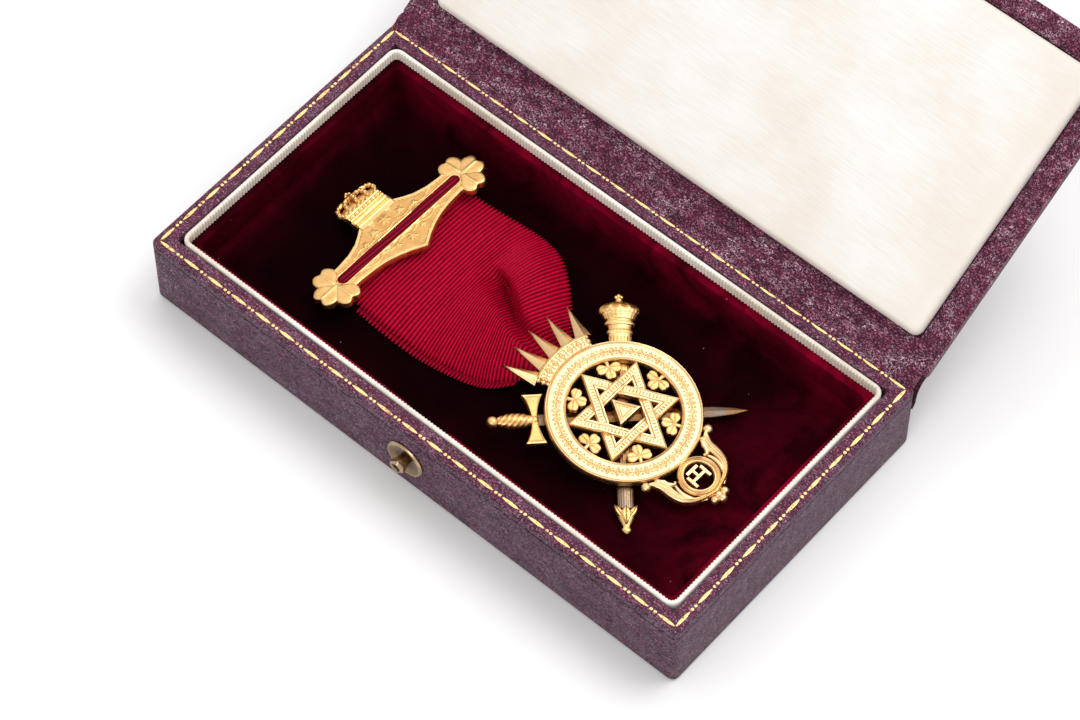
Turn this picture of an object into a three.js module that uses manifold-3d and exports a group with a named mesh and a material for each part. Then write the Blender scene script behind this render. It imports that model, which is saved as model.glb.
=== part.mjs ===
// A masonic jewel on its ribbon, lying in an open presentation case.
// Millimetres, +Z up. The origin is the centre of the case's underside, +X runs along the case
// and +Y points to the hinge. The lid is drawn closed in its own group, which is then turned open.
import * as THREE from "three";
import { mergeVertices } from "three/addons/utils/BufferGeometryUtils.js";
import Module from "manifold-3d";

const wasm = await Module();
wasm.setup();

// Clearance between pieces that touch on the real thing
const GAP = 0.3;

// How far a cutting tool runs past the piece that it cuts, and the least corner radius
const OVERRUN = 1;
const LEAST_ROUND = 0.2;

// Case base
const CASE_LENGTH = 142.5;
const CASE_WIDTH = 75.8;
const BASE_HEIGHT = 19.6;
const RIM_WIDTH = 4.1;
const BASE_FLOOR = 3;
const CASE_CORNER = 1.6;
const FOOT_ROUND = 1.2;

// Silk lip and velvet tray
const LIP_WALL = 1;
const LIP_DEPTH = 2.6;
const LIP_CORNER = 2.4;
const VELVET_WALL = 1;
const VELVET_FLOOR = 2.8;

// Lid
const LID_OPEN_ANGLE = 148.8;
const LID_EDGE = 2.2;
const LID_HEIGHT = 6;
const LID_BEVEL = 4.5;
const LID_SEAT_GAP = 0.3;
const PAD_CLEARANCE = 0.4;
const PAD_RISE = 2.5;
const PAD_SEAT = 0.9;
const PAD_CORNER = 2.6;
const PAD_ROUND = 1.8;
const CATCH_WIDTH = 8;
const CATCH_THICKNESS = 0.9;
const CATCH_DROP = 4;

// Hinge behind the rear wall
const HINGE_LENGTH = 126;
const HINGE_REACH = 1.3;
const HINGE_LIFT = 0.4;
const KNUCKLE_RADIUS = 1;
const HINGE_PIN_RADIUS = 0.45;
const KNUCKLES = 5;
const LEAF_THICKNESS = 1.3;
const LEAF_PROUD = 0.7;
const BASE_LEAF_HEIGHT = 7;

// Catch button in the front wall
const BUTTON_HEIGHT = 9.8;
const CUP_RADIUS = 4.7;
const CUP_SHANK = 3.2;
const CUP_PROUD = 0.8;
const BUTTON_RADIUS = 1.6;
const BUTTON_PROUD = 3.2;
const BUTTON_BORE = 0.8;
const SHANK_DEPTH = 2.2;

// Brooch bar: u runs across it towards the pendant, v along it
const BAR_X = -38;
const BAR_Y = 2.4;
const BAR_LIFT = 4.8;
const BAR_YAW = -1;
const BAR_TILT = 8;
const BAR_THICKNESS = 1.5;
const BAR_WAIST = 3.5;
const BAR_POINT = 7.8;
const BAR_NECK_V = 15.8;
const SLOT_LENGTH = 36.4;
const SLOT_WIDTH = 3;
const PEDESTAL_REACH = 9.3;
const PEDESTAL_WIDTH = 10;
const BAR_CROWN_WIDTH = 10.8;
const BAR_CROWN_HEIGHT = 5;
const BAR_CROWN_THICKNESS = 2.2;
const BAR_CROSS = 1.5;
const TREFOIL_V = 19.2;
const TREFOIL_LEAF = 6;
const TREFOIL_LEAF_WIDTH = 5.4;

// Pin behind the bar
const PIN_RADIUS = 0.5;
const PIN_DROP = 3.3;
const PIN_POST_V = 21;
const PIN_POST = 1.8;

// Pendant: u runs along it away from the bar, v across it
const PENDANT_X = 27;
const PENDANT_Y = -1.3;
const PENDANT_LIFT = 5.3;
const PENDANT_YAW = -1.8;
const PENDANT_TILT = 6.7;
const RING_OUTER = 16.35;
const RING_INNER = 11.9;
const RING_THICKNESS = 1.5;
const RING_BORDER = 0.7;
const BORDER_RELIEF = 0.25;

// Interlaced star and the sprigs round it
const STAR_ARM = 2.3;
const STAR_THICKNESS = 1.4;
const STAR_OVER = 0.25;
const SHAMROCK_LEAF = 2.1;
const SHAMROCK_LEAF_WIDTH = 2.1;
const SHAMROCK_THICKNESS = 1.1;
const SHAMROCK_STALK = 0.4;
const TRIANGLE_RADIUS = 3.5;
const TRIANGLE_RISE = 1.3;

// Rayed crown on the ring
const CROWN_BAND = 2.6;
const CROWN_HALF_ANGLE = 22;
const RAY_TIP_RADIUS = 26.8;
const RAY_VALLEY_RADIUS = 20.3;
const RAY_STEP_ANGLE = 11;
const RAY_RIDGE = 0.9;
const CROWN_KNOB = 0.55;

// Scrolls and the small ring below
const SMALL_RING_U = 20.65;
const SMALL_RING_OUTER = 4.5;
const SMALL_RING_INNER = 3.1;
const SCROLL_THICKNESS = 1.5;
const SCROLL_CURL = 1.05;
const TAU_BAR = 0.7;
const TERMINAL_BALL = 0.95;
const NIB_LENGTH = 2.4;
const NIB_WIDTH = 1;

// Sword and sceptre behind the ring, crossing at its centre
const SWORD_ANGLE = 48.6;
const BLADE_TIP = 25.8;
const BLADE_WIDTH = 2.5;
const BLADE_THICKNESS = 1;
const GUARD_AT = 18.3;
const GUARD_REACH = 5.6;
const GUARD_FLARE = 4.4;
const GUARD_WAIST = 1.1;
const GUARD_THICKNESS = 1.4;
const GRIP_LENGTH = 6.6;
const GRIP_RADIUS = 1.65;
const POMMEL_RADIUS = 1.25;
const SCEPTRE_ANGLE = -45.9;
const SCEPTRE_FLATNESS = 0.5;
const SHAFT_TOP_RADIUS = 2.1;
const SHAFT_FOOT_RADIUS = 1.5;
const SHAFT_TOP_AT = 18.4;
const SHAFT_FOOT_AT = 20.5;
const SCEPTRE_HEAD_LENGTH = 8.2;
const SCEPTRE_HEAD_RADIUS = 4;
const SCEPTRE_FINIAL = 0.8;
const SCEPTRE_FOOT_LENGTH = 5;

// Ribbon
const RIBBON_WIDTH = 38;
const RIBBON_THICKNESS = 1.2;
const ROLL_CLEARANCE = 0.3;
const LOOP_WIDTH = 11;
const LOOP_WIRE = 0.6;

// Places worked out from the sizes
const CAVITY_LENGTH = CASE_LENGTH - 2 * RIM_WIDTH;
const CAVITY_WIDTH = CASE_WIDTH - 2 * RIM_WIDTH;
const LIP_LENGTH = CAVITY_LENGTH - 2 * GAP;
const LIP_BREADTH = CAVITY_WIDTH - 2 * GAP;
const TRAY_FLOOR_Z = BASE_FLOOR + GAP + VELVET_FLOOR;
const VELVET_TOP_Z = BASE_HEIGHT - LIP_DEPTH - GAP;
const PAD_LENGTH = LIP_LENGTH - 2 * (LIP_WALL + PAD_CLEARANCE);
const PAD_BREADTH = LIP_BREADTH - 2 * (LIP_WALL + PAD_CLEARANCE);
const HINGE_Y = CASE_WIDTH / 2 + HINGE_REACH;
const HINGE_Z = BASE_HEIGHT + HINGE_LIFT;
const PENDANT_BACK = -RING_THICKNESS / 2 - GAP;

const rad = THREE.MathUtils.degToRad;

const finish = (color, roughness, metalness) =>
  new THREE.MeshStandardMaterial({ color, roughness, metalness });
const gilt = finish(0xdcb465, 0.3, 1);
const silver = finish(0x9a948c, 0.4, 1);
const silk = finish(0xb00030, 0.6, 0);
const leather = finish(0x4a2438, 0.55, 0);
const lipSilk = finish(0xe6ded0, 0.7, 0);
const velvet = finish(0x3a0010, 0.95, 0);
const satin = finish(0xf2efe8, 0.55, 0);
const brass = finish(0xb39a63, 0.3, 1);

// Solids and booleans

function solid(geometry) {
  const bare = geometry.clone();
  bare.deleteAttribute("normal");
  bare.deleteAttribute("uv");
  const merged = mergeVertices(bare, 1e-4);
  const triVerts = new Uint32Array(merged.index.array);
  return new wasm.Manifold(
    new wasm.Mesh({
      numProp: 3,
      vertProperties: merged.attributes.position.array,
      triVerts,
    }),
  );
}

function geometryOf(manifold) {
  const mesh = manifold.getMesh();
  const geometry = new THREE.BufferGeometry();
  geometry.setAttribute(
    "position",
    new THREE.BufferAttribute(new Float32Array(mesh.vertProperties), 3),
  );
  geometry.setIndex(new THREE.BufferAttribute(new Uint32Array(mesh.triVerts), 1));
  geometry.computeVertexNormals();
  return geometry;
}

const join = (geometries) =>
  geometryOf(geometries.map(solid).reduce((whole, piece) => whole.add(piece)));

const cut = (geometry, tools) =>
  geometryOf(tools.map(solid).reduce((whole, tool) => whole.subtract(tool), solid(geometry)));

function node(group, name, geometry, material) {
  const mesh = new THREE.Mesh(geometry, material);
  mesh.name = name;
  group.add(mesh);
  return mesh;
}

const box = (x0, x1, y0, y1, z0, z1) =>
  new THREE.BoxGeometry(x1 - x0, y1 - y0, z1 - z0).translate(
    (x0 + x1) / 2,
    (y0 + y1) / 2,
    (z0 + z1) / 2,
  );

// An outline raised into a plate between two heights
const plate = (shape, z0, z1, curveSegments = 6) =>
  new THREE.ExtrudeGeometry(shape, {
    depth: z1 - z0,
    bevelEnabled: false,
    curveSegments,
  }).translate(0, 0, z0);

const outline = (points) => new THREE.Shape(points.map(([x, y]) => new THREE.Vector2(x, y)));

const lathe = (profile, sides) =>
  new THREE.LatheGeometry(
    profile.map(([r, h]) => new THREE.Vector2(r, h)),
    sides,
  );

// A lathe turned about Z, with heights going up
const turned = (profile, sides) => lathe(profile, sides).rotateX(Math.PI / 2);

// A round-cornered rectangle as a ring of points at one height, grown or shrunk by an inset
function roundedRing(length, width, corner, z, inset = 0, centreY = 0) {
  const arcSteps = 4;
  const r = Math.max(corner - inset, LEAST_ROUND);
  const ring = [];
  for (const [sx, sy, start] of [
    [1, 1, 0],
    [-1, 1, 90],
    [-1, -1, 180],
    [1, -1, 270],
  ]) {
    for (let i = 0; i <= arcSteps; i++) {
      const a = rad(start + (90 * i) / arcSteps);
      ring.push([
        sx * (length / 2 - inset - r) + r * Math.cos(a),
        centreY + sy * (width / 2 - inset - r) + r * Math.sin(a),
        z,
      ]);
    }
  }
  return ring;
}

// Joins rings of equal count into one closed surface, with flat caps unless it loops back
function stack(rings, loops = false) {
  const count = rings[0].length;
  const positions = rings.flat(2);
  const index = [];
  const last = loops ? rings.length : rings.length - 1;
  for (let k = 0; k < last; k++) {
    const low = k * count;
    const high = ((k + 1) % rings.length) * count;
    for (let i = 0; i < count; i++) {
      const j = (i + 1) % count;
      index.push(low + i, low + j, high + j, low + i, high + j, high + i);
    }
  }
  if (!loops) {
    const top = (rings.length - 1) * count;
    for (let i = 1; i < count - 1; i++) {
      index.push(0, i + 1, i);
      index.push(top, top + i, top + i + 1);
    }
  }
  const geometry = new THREE.BufferGeometry();
  geometry.setAttribute("position", new THREE.Float32BufferAttribute(positions, 3));
  geometry.setIndex(index);
  geometry.computeVertexNormals();
  return geometry;
}

// A heart-shaped leaf that grows from the origin along +X, with a notch in its end
function leafShape(length, width) {
  const half = width / 2;
  const shape = new THREE.Shape();
  shape.moveTo(0, -width * 0.07);
  shape.bezierCurveTo(length * 0.3, -width * 0.2, length * 0.3, -half, length * 0.65, -half);
  shape.bezierCurveTo(length * 0.95, -half, length * 1.1, -half * 0.25, length * 0.9, 0);
  shape.bezierCurveTo(length * 1.1, half * 0.25, length * 0.95, half, length * 0.65, half);
  shape.bezierCurveTo(length * 0.3, half, length * 0.3, width * 0.2, 0, width * 0.07);
  shape.closePath();
  return shape;
}

// Case

function caseBase() {
  const outer = (z, inset) => roundedRing(CASE_LENGTH, CASE_WIDTH, CASE_CORNER, z, inset);
  const inner = (z) => roundedRing(CAVITY_LENGTH, CAVITY_WIDTH, LIP_CORNER, z);
  const shell = stack([
    outer(0, FOOT_ROUND),
    outer(FOOT_ROUND * 0.3, FOOT_ROUND * 0.3),
    outer(FOOT_ROUND, 0),
    outer(BASE_HEIGHT, 0),
    inner(BASE_HEIGHT),
    inner(BASE_FLOOR),
  ]);
  const rear = CASE_WIDTH / 2;
  const leafPocket = box(
    -HINGE_LENGTH / 2 - GAP,
    HINGE_LENGTH / 2 + GAP,
    rear + LEAF_PROUD - LEAF_THICKNESS - GAP,
    rear + OVERRUN,
    BASE_HEIGHT - BASE_LEAF_HEIGHT - GAP,
    BASE_HEIGHT + OVERRUN,
  );
  const boreRadius = CUP_SHANK + GAP;
  const boreDepth = SHANK_DEPTH + GAP;
  const buttonBore = new THREE.CylinderGeometry(boreRadius, boreRadius, 2 * boreDepth, 24).translate(
    0,
    -CASE_WIDTH / 2,
    BUTTON_HEIGHT,
  );
  return cut(shell, [leafPocket, buttonBore]);
}

function caseLip() {
  const outer = (z) => roundedRing(LIP_LENGTH, LIP_BREADTH, LIP_CORNER, z);
  const inner = (z, inset) => roundedRing(LIP_LENGTH, LIP_BREADTH, LIP_CORNER, z, inset);
  const low = BASE_HEIGHT - LIP_DEPTH;
  const shoulder = BASE_HEIGHT - LIP_WALL * 0.3;
  return stack(
    [
      outer(low),
      outer(shoulder),
      inner(BASE_HEIGHT, LIP_WALL * 0.3),
      inner(BASE_HEIGHT, LIP_WALL * 0.7),
      inner(shoulder, LIP_WALL),
      inner(low, LIP_WALL),
    ],
    true,
  );
}

function velvetLining() {
  const ring = (z, inset) => roundedRing(LIP_LENGTH, LIP_BREADTH, LIP_CORNER, z, inset);
  const cove = VELVET_WALL * 1.5;
  return stack([
    ring(BASE_FLOOR + GAP, 0),
    ring(VELVET_TOP_Z, 0),
    ring(VELVET_TOP_Z, VELVET_WALL),
    ring(TRAY_FLOOR_Z + cove, VELVET_WALL),
    ring(TRAY_FLOOR_Z + cove * 0.3, VELVET_WALL + cove * 0.3),
    ring(TRAY_FLOOR_Z, VELVET_WALL + cove),
  ]);
}

function buttonCup() {
  const profile = [
    [BUTTON_RADIUS + GAP, -SHANK_DEPTH],
    [CUP_SHANK, -SHANK_DEPTH],
    [CUP_SHANK, GAP],
    [CUP_RADIUS, GAP],
    [CUP_RADIUS, GAP + CUP_PROUD * 0.6],
    [CUP_RADIUS - CUP_PROUD / 2, GAP + CUP_PROUD],
    [CUP_SHANK - GAP, GAP + CUP_PROUD * 0.3],
    [BUTTON_RADIUS + GAP, GAP],
    [BUTTON_RADIUS + GAP, -SHANK_DEPTH],
  ];
  return lathe(profile, 28).rotateX(Math.PI);
}

function pushButton() {
  const profile = [
    [0, -SHANK_DEPTH],
    [BUTTON_RADIUS, -SHANK_DEPTH],
    [BUTTON_RADIUS, BUTTON_PROUD * 0.85],
    [BUTTON_RADIUS * 0.75, BUTTON_PROUD],
    [BUTTON_BORE, BUTTON_PROUD],
    [BUTTON_BORE, BUTTON_PROUD * 0.75],
    [0, BUTTON_PROUD * 0.75],
  ];
  return lathe(profile, 18).rotateX(Math.PI);
}

// Hinge, drawn about its own axis: y behind it, z above it, with the lid closed

const knucklePitch = HINGE_LENGTH / KNUCKLES;

const barrel = (radius, x0, x1) =>
  new THREE.CylinderGeometry(radius, radius, x1 - x0, 12)
    .rotateZ(Math.PI / 2)
    .translate((x0 + x1) / 2, 0, 0);

// One leaf with every second knuckle and the web that carries it, cut clear of the other leaf's
function hingeLeaf(parity, z0, z1) {
  const y0 = LEAF_PROUD - LEAF_THICKNESS - HINGE_REACH;
  const leaf = box(-HINGE_LENGTH / 2, HINGE_LENGTH / 2, y0, LEAF_PROUD - HINGE_REACH, z0, z1);
  const own = [];
  const clear = [];
  for (let k = 0; k < KNUCKLES; k++) {
    const x0 = -HINGE_LENGTH / 2 + k * knucklePitch;
    const x1 = x0 + knucklePitch;
    if (k % 2 === parity) {
      own.push(barrel(KNUCKLE_RADIUS, x0 + GAP / 2, x1 - GAP / 2));
      own.push(box(x0 + GAP / 2, x1 - GAP / 2, y0, -HINGE_PIN_RADIUS, z0, z1));
    } else {
      clear.push(barrel(KNUCKLE_RADIUS + GAP, x0 - GAP / 2, x1 + GAP / 2));
    }
  }
  const bore = barrel(HINGE_PIN_RADIUS + GAP, -HINGE_LENGTH, HINGE_LENGTH);
  return cut(join([leaf, ...own]), [...clear, bore]);
}

// Lid, drawn closed about the hinge axis

const lidInner = LID_SEAT_GAP - HINGE_LIFT;
const lidCentreY = -HINGE_REACH - CASE_WIDTH / 2;

function lidBoard() {
  const outer = (z, inset) =>
    roundedRing(CASE_LENGTH, CASE_WIDTH, CASE_CORNER, lidInner + z, inset, lidCentreY);
  const seat = (z) =>
    roundedRing(PAD_LENGTH, PAD_BREADTH, PAD_CORNER + GAP, lidInner + z, -GAP, lidCentreY);
  const soften = LID_EDGE * 0.15;
  const board = stack([
    seat(PAD_SEAT),
    seat(0),
    outer(0, soften),
    outer(soften, 0),
    outer(LID_EDGE, 0),
    outer(LID_HEIGHT - soften, LID_BEVEL),
    outer(LID_HEIGHT, LID_BEVEL + soften),
  ]);
  const leafPocket = box(
    -HINGE_LENGTH / 2 - GAP,
    HINGE_LENGTH / 2 + GAP,
    LEAF_PROUD - LEAF_THICKNESS - GAP - HINGE_REACH,
    OVERRUN,
    lidInner - OVERRUN,
    lidInner + LID_EDGE + GAP,
  );
  return cut(board, [leafPocket]);
}

const padFront = lidCentreY - PAD_BREADTH / 2;

function lidPad() {
  const ring = (z, inset) =>
    roundedRing(PAD_LENGTH, PAD_BREADTH, PAD_CORNER, lidInner + z, inset, lidCentreY);
  const body = stack([
    ring(-PAD_RISE, PAD_ROUND),
    ring(-PAD_RISE * 0.88, PAD_ROUND * 0.5),
    ring(-PAD_RISE * 0.6, PAD_ROUND * 0.12),
    ring(-PAD_RISE * 0.3, 0),
    ring(PAD_SEAT - GAP, 0),
  ]);
  const notch = box(
    -CATCH_WIDTH / 2 - GAP,
    CATCH_WIDTH / 2 + GAP,
    padFront - OVERRUN,
    padFront + CATCH_THICKNESS + GAP,
    lidInner - PAD_RISE - OVERRUN,
    lidInner + PAD_SEAT,
  );
  return cut(body, [notch]);
}

const lidCatch = () =>
  box(
    -CATCH_WIDTH / 2,
    CATCH_WIDTH / 2,
    padFront,
    padFront + CATCH_THICKNESS,
    lidInner - CATCH_DROP,
    lidInner + PAD_SEAT - GAP,
  );

// Brooch bar, in its own u, v, w frame with w = 0 in the middle of the plate

const barTop = BAR_THICKNESS / 2;

// Plate outline: both sides sweep in from the middle to the necks below the trefoils
function barPlate() {
  const shape = new THREE.Shape();
  const halfPedestal = PEDESTAL_WIDTH / 2;
  const shoulder = PEDESTAL_REACH * 0.72;
  shape.moveTo(BAR_WAIST, -BAR_NECK_V);
  shape.bezierCurveTo(
    BAR_WAIST * 1.15, -BAR_NECK_V * 0.6, BAR_POINT * 0.62, -BAR_NECK_V * 0.2, BAR_POINT, 0,
  );
  shape.bezierCurveTo(
    BAR_POINT * 0.62, BAR_NECK_V * 0.2, BAR_WAIST * 1.15, BAR_NECK_V * 0.6, BAR_WAIST, BAR_NECK_V,
  );
  shape.lineTo(BAR_WAIST * 0.9, TREFOIL_V);
  shape.lineTo(-BAR_WAIST * 0.9, TREFOIL_V);
  shape.lineTo(-BAR_WAIST, BAR_NECK_V);
  shape.bezierCurveTo(
    -BAR_WAIST, BAR_NECK_V * 0.65, -shoulder * 0.75, BAR_NECK_V * 0.4, -shoulder, halfPedestal,
  );
  shape.lineTo(-PEDESTAL_REACH, halfPedestal);
  shape.lineTo(-PEDESTAL_REACH, -halfPedestal);
  shape.lineTo(-shoulder, -halfPedestal);
  shape.bezierCurveTo(
    -shoulder * 0.75, -BAR_NECK_V * 0.4, -BAR_WAIST, -BAR_NECK_V * 0.65, -BAR_WAIST, -BAR_NECK_V,
  );
  shape.lineTo(-BAR_WAIST * 0.9, -TREFOIL_V);
  shape.lineTo(BAR_WAIST * 0.9, -TREFOIL_V);
  shape.closePath();
  return plate(shape, -barTop, barTop, 8);
}

function barTrefoil(side) {
  const leaves = [90, 12, 168].map((turn) =>
    plate(leafShape(TREFOIL_LEAF, TREFOIL_LEAF_WIDTH), -barTop * 0.9, barTop * 0.9, 4)
      .rotateZ(rad(turn))
      .translate(0, TREFOIL_V, 0),
  );
  return leaves.map((leaf) => (side < 0 ? leaf.rotateZ(Math.PI) : leaf));
}

// Mouldings between the bar and its crown: half-round ridges across the pedestal
function pedestalMouldings() {
  const ridge = PEDESTAL_REACH * 0.055;
  return [0.8, 0.89, 0.98].map((share) =>
    new THREE.CylinderGeometry(ridge, ridge, PEDESTAL_WIDTH, 10).translate(
      -PEDESTAL_REACH * share,
      0,
      barTop,
    ),
  );
}

// Openwork crown: a circlet, an outline of five lobes, four openings and a small cross
function barCrown() {
  const half = BAR_CROWN_WIDTH / 2;
  const foot = -PEDESTAL_REACH + GAP;
  const tops = [
    [0.45, 0.96],
    [0.78, 1],
    [1, 0.72],
    [0.88, 0.46],
    [0.97, 0.24],
    [0.9, 0],
  ];
  const upper = tops.map(([rise, share]) => [foot - BAR_CROWN_HEIGHT * rise, half * share]);
  const lower = upper
    .slice(0, -1)
    .reverse()
    .map(([u, v]) => [u, -v]);
  const body = plate(
    outline([[foot, -half * 0.9], [foot, half * 0.9], ...upper, ...lower]),
    -BAR_CROWN_THICKNESS / 2,
    BAR_CROWN_THICKNESS / 2,
  );
  const opening = BAR_CROWN_HEIGHT * 0.15;
  const openings = [-0.66, -0.24, 0.24, 0.66].map((share) =>
    new THREE.CylinderGeometry(opening, opening, 2 * BAR_CROWN_THICKNESS, 8)
      .rotateX(Math.PI / 2)
      .translate(foot - BAR_CROWN_HEIGHT * 0.62, half * share, 0),
  );
  const circlet = box(
    foot - BAR_CROWN_HEIGHT * 0.32,
    foot,
    -half * 0.92,
    half * 0.92,
    -BAR_CROWN_THICKNESS / 2,
    BAR_CROWN_THICKNESS / 2 + GAP,
  );
  const arm = BAR_CROSS * 0.22;
  const crossU = foot - BAR_CROWN_HEIGHT * 0.9 - BAR_CROSS / 2;
  const cross = [
    box(crossU - BAR_CROSS / 2, crossU + BAR_CROSS, -arm, arm, -arm, arm),
    box(crossU - arm, crossU + arm, -BAR_CROSS / 2, BAR_CROSS / 2, -arm, arm),
  ];
  return [cut(body, openings), circlet, ...cross];
}

function slotTool() {
  const r = SLOT_WIDTH / 2;
  const half = SLOT_LENGTH / 2 - r;
  const shape = new THREE.Shape();
  shape.absarc(0, half, r, 0, Math.PI, false);
  shape.absarc(0, -half, r, Math.PI, 2 * Math.PI, false);
  return plate(shape, -2 * BAR_THICKNESS, 2 * BAR_THICKNESS);
}

const broochBar = () =>
  cut(
    join([
      barPlate(),
      ...barTrefoil(1),
      ...barTrefoil(-1),
      ...pedestalMouldings(),
      ...barCrown(),
    ]),
    [slotTool()],
  );

// Hidden pin: a wire between two posts that stand behind the trefoils
function broochPin() {
  const post = (v) =>
    box(-PIN_POST / 2, PIN_POST / 2, v - PIN_POST / 2, v + PIN_POST / 2, -PIN_DROP - PIN_RADIUS,
      -barTop - GAP);
  const wire = new THREE.CylinderGeometry(PIN_RADIUS, PIN_RADIUS, 2 * PIN_POST_V, 8).translate(
    0,
    0,
    -PIN_DROP,
  );
  return join([post(PIN_POST_V), post(-PIN_POST_V), wire]);
}

// Pendant, in its own u, v, w frame with w = 0 in the middle of the ring's thickness

const ringTop = RING_THICKNESS / 2;

// A flat ring with a raised border along both edges
const borderedRing = (inner, outer, border, relief, sides) =>
  turned(
    [
      [inner, -ringTop],
      [outer, -ringTop],
      [outer, ringTop],
      [outer - border * 0.4, ringTop + relief],
      [outer - border, ringTop],
      [inner + border, ringTop],
      [inner + border * 0.4, ringTop + relief],
      [inner, ringTop],
      [inner, -ringTop],
    ],
    sides,
  );

const jewelRing = () => borderedRing(RING_INNER, RING_OUTER, RING_BORDER, BORDER_RELIEF, 72);

const polar = (radius, degrees) => [
  radius * Math.cos(rad(degrees)),
  radius * Math.sin(rad(degrees)),
];

const triangle = (radius, turn) => outline([0, 120, 240].map((a) => polar(radius, a + turn)));

// Two triangle frames laid one over the other, with the arm on top raised at each crossing
function star() {
  const reach = RING_INNER - GAP;
  const hole = reach - 2 * STAR_ARM;
  const half = STAR_THICKNESS / 2;
  const frames = [0, 180].map((turn) => {
    const shape = triangle(reach, turn);
    shape.holes.push(new THREE.Path(triangle(hole, turn).getPoints()));
    return plate(shape, -half, half);
  });
  const armDistance = (reach - STAR_ARM) / 2;
  const crossing = armDistance / Math.sqrt(3);
  const over = [0, 60, 120, 180, 240, 300].map((turn) =>
    box(
      armDistance - STAR_ARM / 2,
      armDistance + STAR_ARM / 2,
      crossing - STAR_ARM * 0.6,
      crossing + STAR_ARM * 0.6,
      -half,
      half + STAR_OVER,
    ).rotateZ(rad(turn)),
  );
  return join([...frames, ...over]);
}

// A sprig of three leaves, drawn with its stalk towards +X, where the ring is
function shamrock() {
  const half = SHAMROCK_THICKNESS / 2;
  const leaves = [180, 68, 292].map((turn) =>
    plate(leafShape(SHAMROCK_LEAF, SHAMROCK_LEAF_WIDTH), -half, half, 3).rotateZ(rad(turn)),
  );
  const stalk = box(
    -SHAMROCK_LEAF * 0.2,
    SHAMROCK_LEAF * 0.85,
    -SHAMROCK_STALK / 2,
    SHAMROCK_STALK / 2,
    -half,
    half,
  );
  return join([...leaves, stalk]);
}

function centreTriangle() {
  const low = PENDANT_BACK + GAP;
  const bevel = TRIANGLE_RISE * 0.25;
  return join([
    plate(triangle(TRIANGLE_RADIUS, 180), low, TRIANGLE_RISE - bevel),
    plate(triangle(TRIANGLE_RADIUS - 2 * bevel, 180), low, TRIANGLE_RISE),
  ]);
}

// One ray: a flat-backed spike with a ridge down its middle
function ray(left, right, tip) {
  const low = -ringTop * 0.6;
  const edge = 0;
  const middle = [(left[0] + right[0]) / 2, (left[1] + right[1]) / 2];
  const points = [
    [...left, low],
    [...right, low],
    [...tip, low],
    [...left, edge],
    [...right, edge],
    [...tip, edge],
    [...middle, RAY_RIDGE],
  ];
  const faces = [
    [0, 1, 2],
    [3, 5, 6],
    [6, 5, 4],
    [0, 2, 5],
    [0, 5, 3],
    [1, 4, 5],
    [1, 5, 2],
    [0, 3, 6],
    [0, 6, 1],
    [1, 6, 4],
  ];
  const geometry = new THREE.BufferGeometry();
  geometry.setAttribute("position", new THREE.Float32BufferAttribute(points.flat(), 3));
  geometry.setIndex(faces.flat());
  geometry.computeVertexNormals();
  return geometry;
}

function rayedCrown() {
  const inner = RING_OUTER + GAP;
  const outer = inner + CROWN_BAND;
  const arc = (r0, r1, z0, z1) => {
    const shape = new THREE.Shape();
    const from = rad(180 - CROWN_HALF_ANGLE);
    const to = rad(180 + CROWN_HALF_ANGLE);
    shape.absarc(0, 0, r1, from, to, false);
    shape.absarc(0, 0, r0, to, from, true);
    return plate(shape, z0, z1, 9);
  };
  const border = CROWN_BAND * 0.16;
  const band = [
    arc(inner, outer, -ringTop, ringTop),
    arc(inner, inner + border, -ringTop, ringTop + BORDER_RELIEF),
    arc(outer - border, outer, -ringTop, ringTop + BORDER_RELIEF),
  ];
  const knobs = [-1, 1].flatMap((side) =>
    [0.15, 0.5, 0.85].map((share) => {
      const [u, v] = polar(inner + CROWN_BAND * share, 180 + side * (CROWN_HALF_ANGLE + 1));
      return new THREE.SphereGeometry(CROWN_KNOB, 8, 6).translate(u, v, 0);
    }),
  );
  const rays = [-2, -1, 0, 1, 2].map((i) => {
    const middle = 180 + i * RAY_STEP_ANGLE * 0.97;
    const half = RAY_STEP_ANGLE * 0.45;
    return ray(
      polar(outer - border, middle - half * 1.1),
      polar(outer - border, middle + half * 1.1),
      polar(RAY_TIP_RADIUS, 180 + i * RAY_STEP_ANGLE),
    );
  });
  const root = arc(outer - border, RAY_VALLEY_RADIUS, -ringTop * 0.6, 0);
  return join([...band, ...knobs, root, ...rays]);
}

// Half of the frame below the ring: a scroll from a curl beside the ring to the terminal.
// Columns: u and v of the outer edge, u and v of the inner edge, from the small ring's centre,
// as shares of its outer radius.
const SCROLL = [
  [-1.42, 2.04, -1.16, 1.53],
  [-1.12, 1.89, -0.92, 1.36],
  [-0.77, 1.76, -0.61, 1.29],
  [-0.26, 1.72, -0.23, 1.29],
  [0.28, 1.58, 0.14, 1.24],
  [0.68, 1.24, 0.5, 1.02],
  [0.92, 0.82, 0.72, 0.71],
  [1.06, 0.4, 0.83, 0.36],
  [1.17, 0, 0.88, 0],
];

const scrollPoint = (u, v) =>
  new THREE.Vector2(SMALL_RING_U + SMALL_RING_OUTER * u, SMALL_RING_OUTER * v);

function scroll(side) {
  const curve = (a, b) =>
    new THREE.SplineCurve(SCROLL.map((row) => scrollPoint(row[a], side * row[b]))).getPoints(20);
  const shape = new THREE.Shape([...curve(0, 1), ...curve(2, 3).reverse()]);
  return plate(shape, -SCROLL_THICKNESS / 2, SCROLL_THICKNESS / 2);
}

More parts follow.
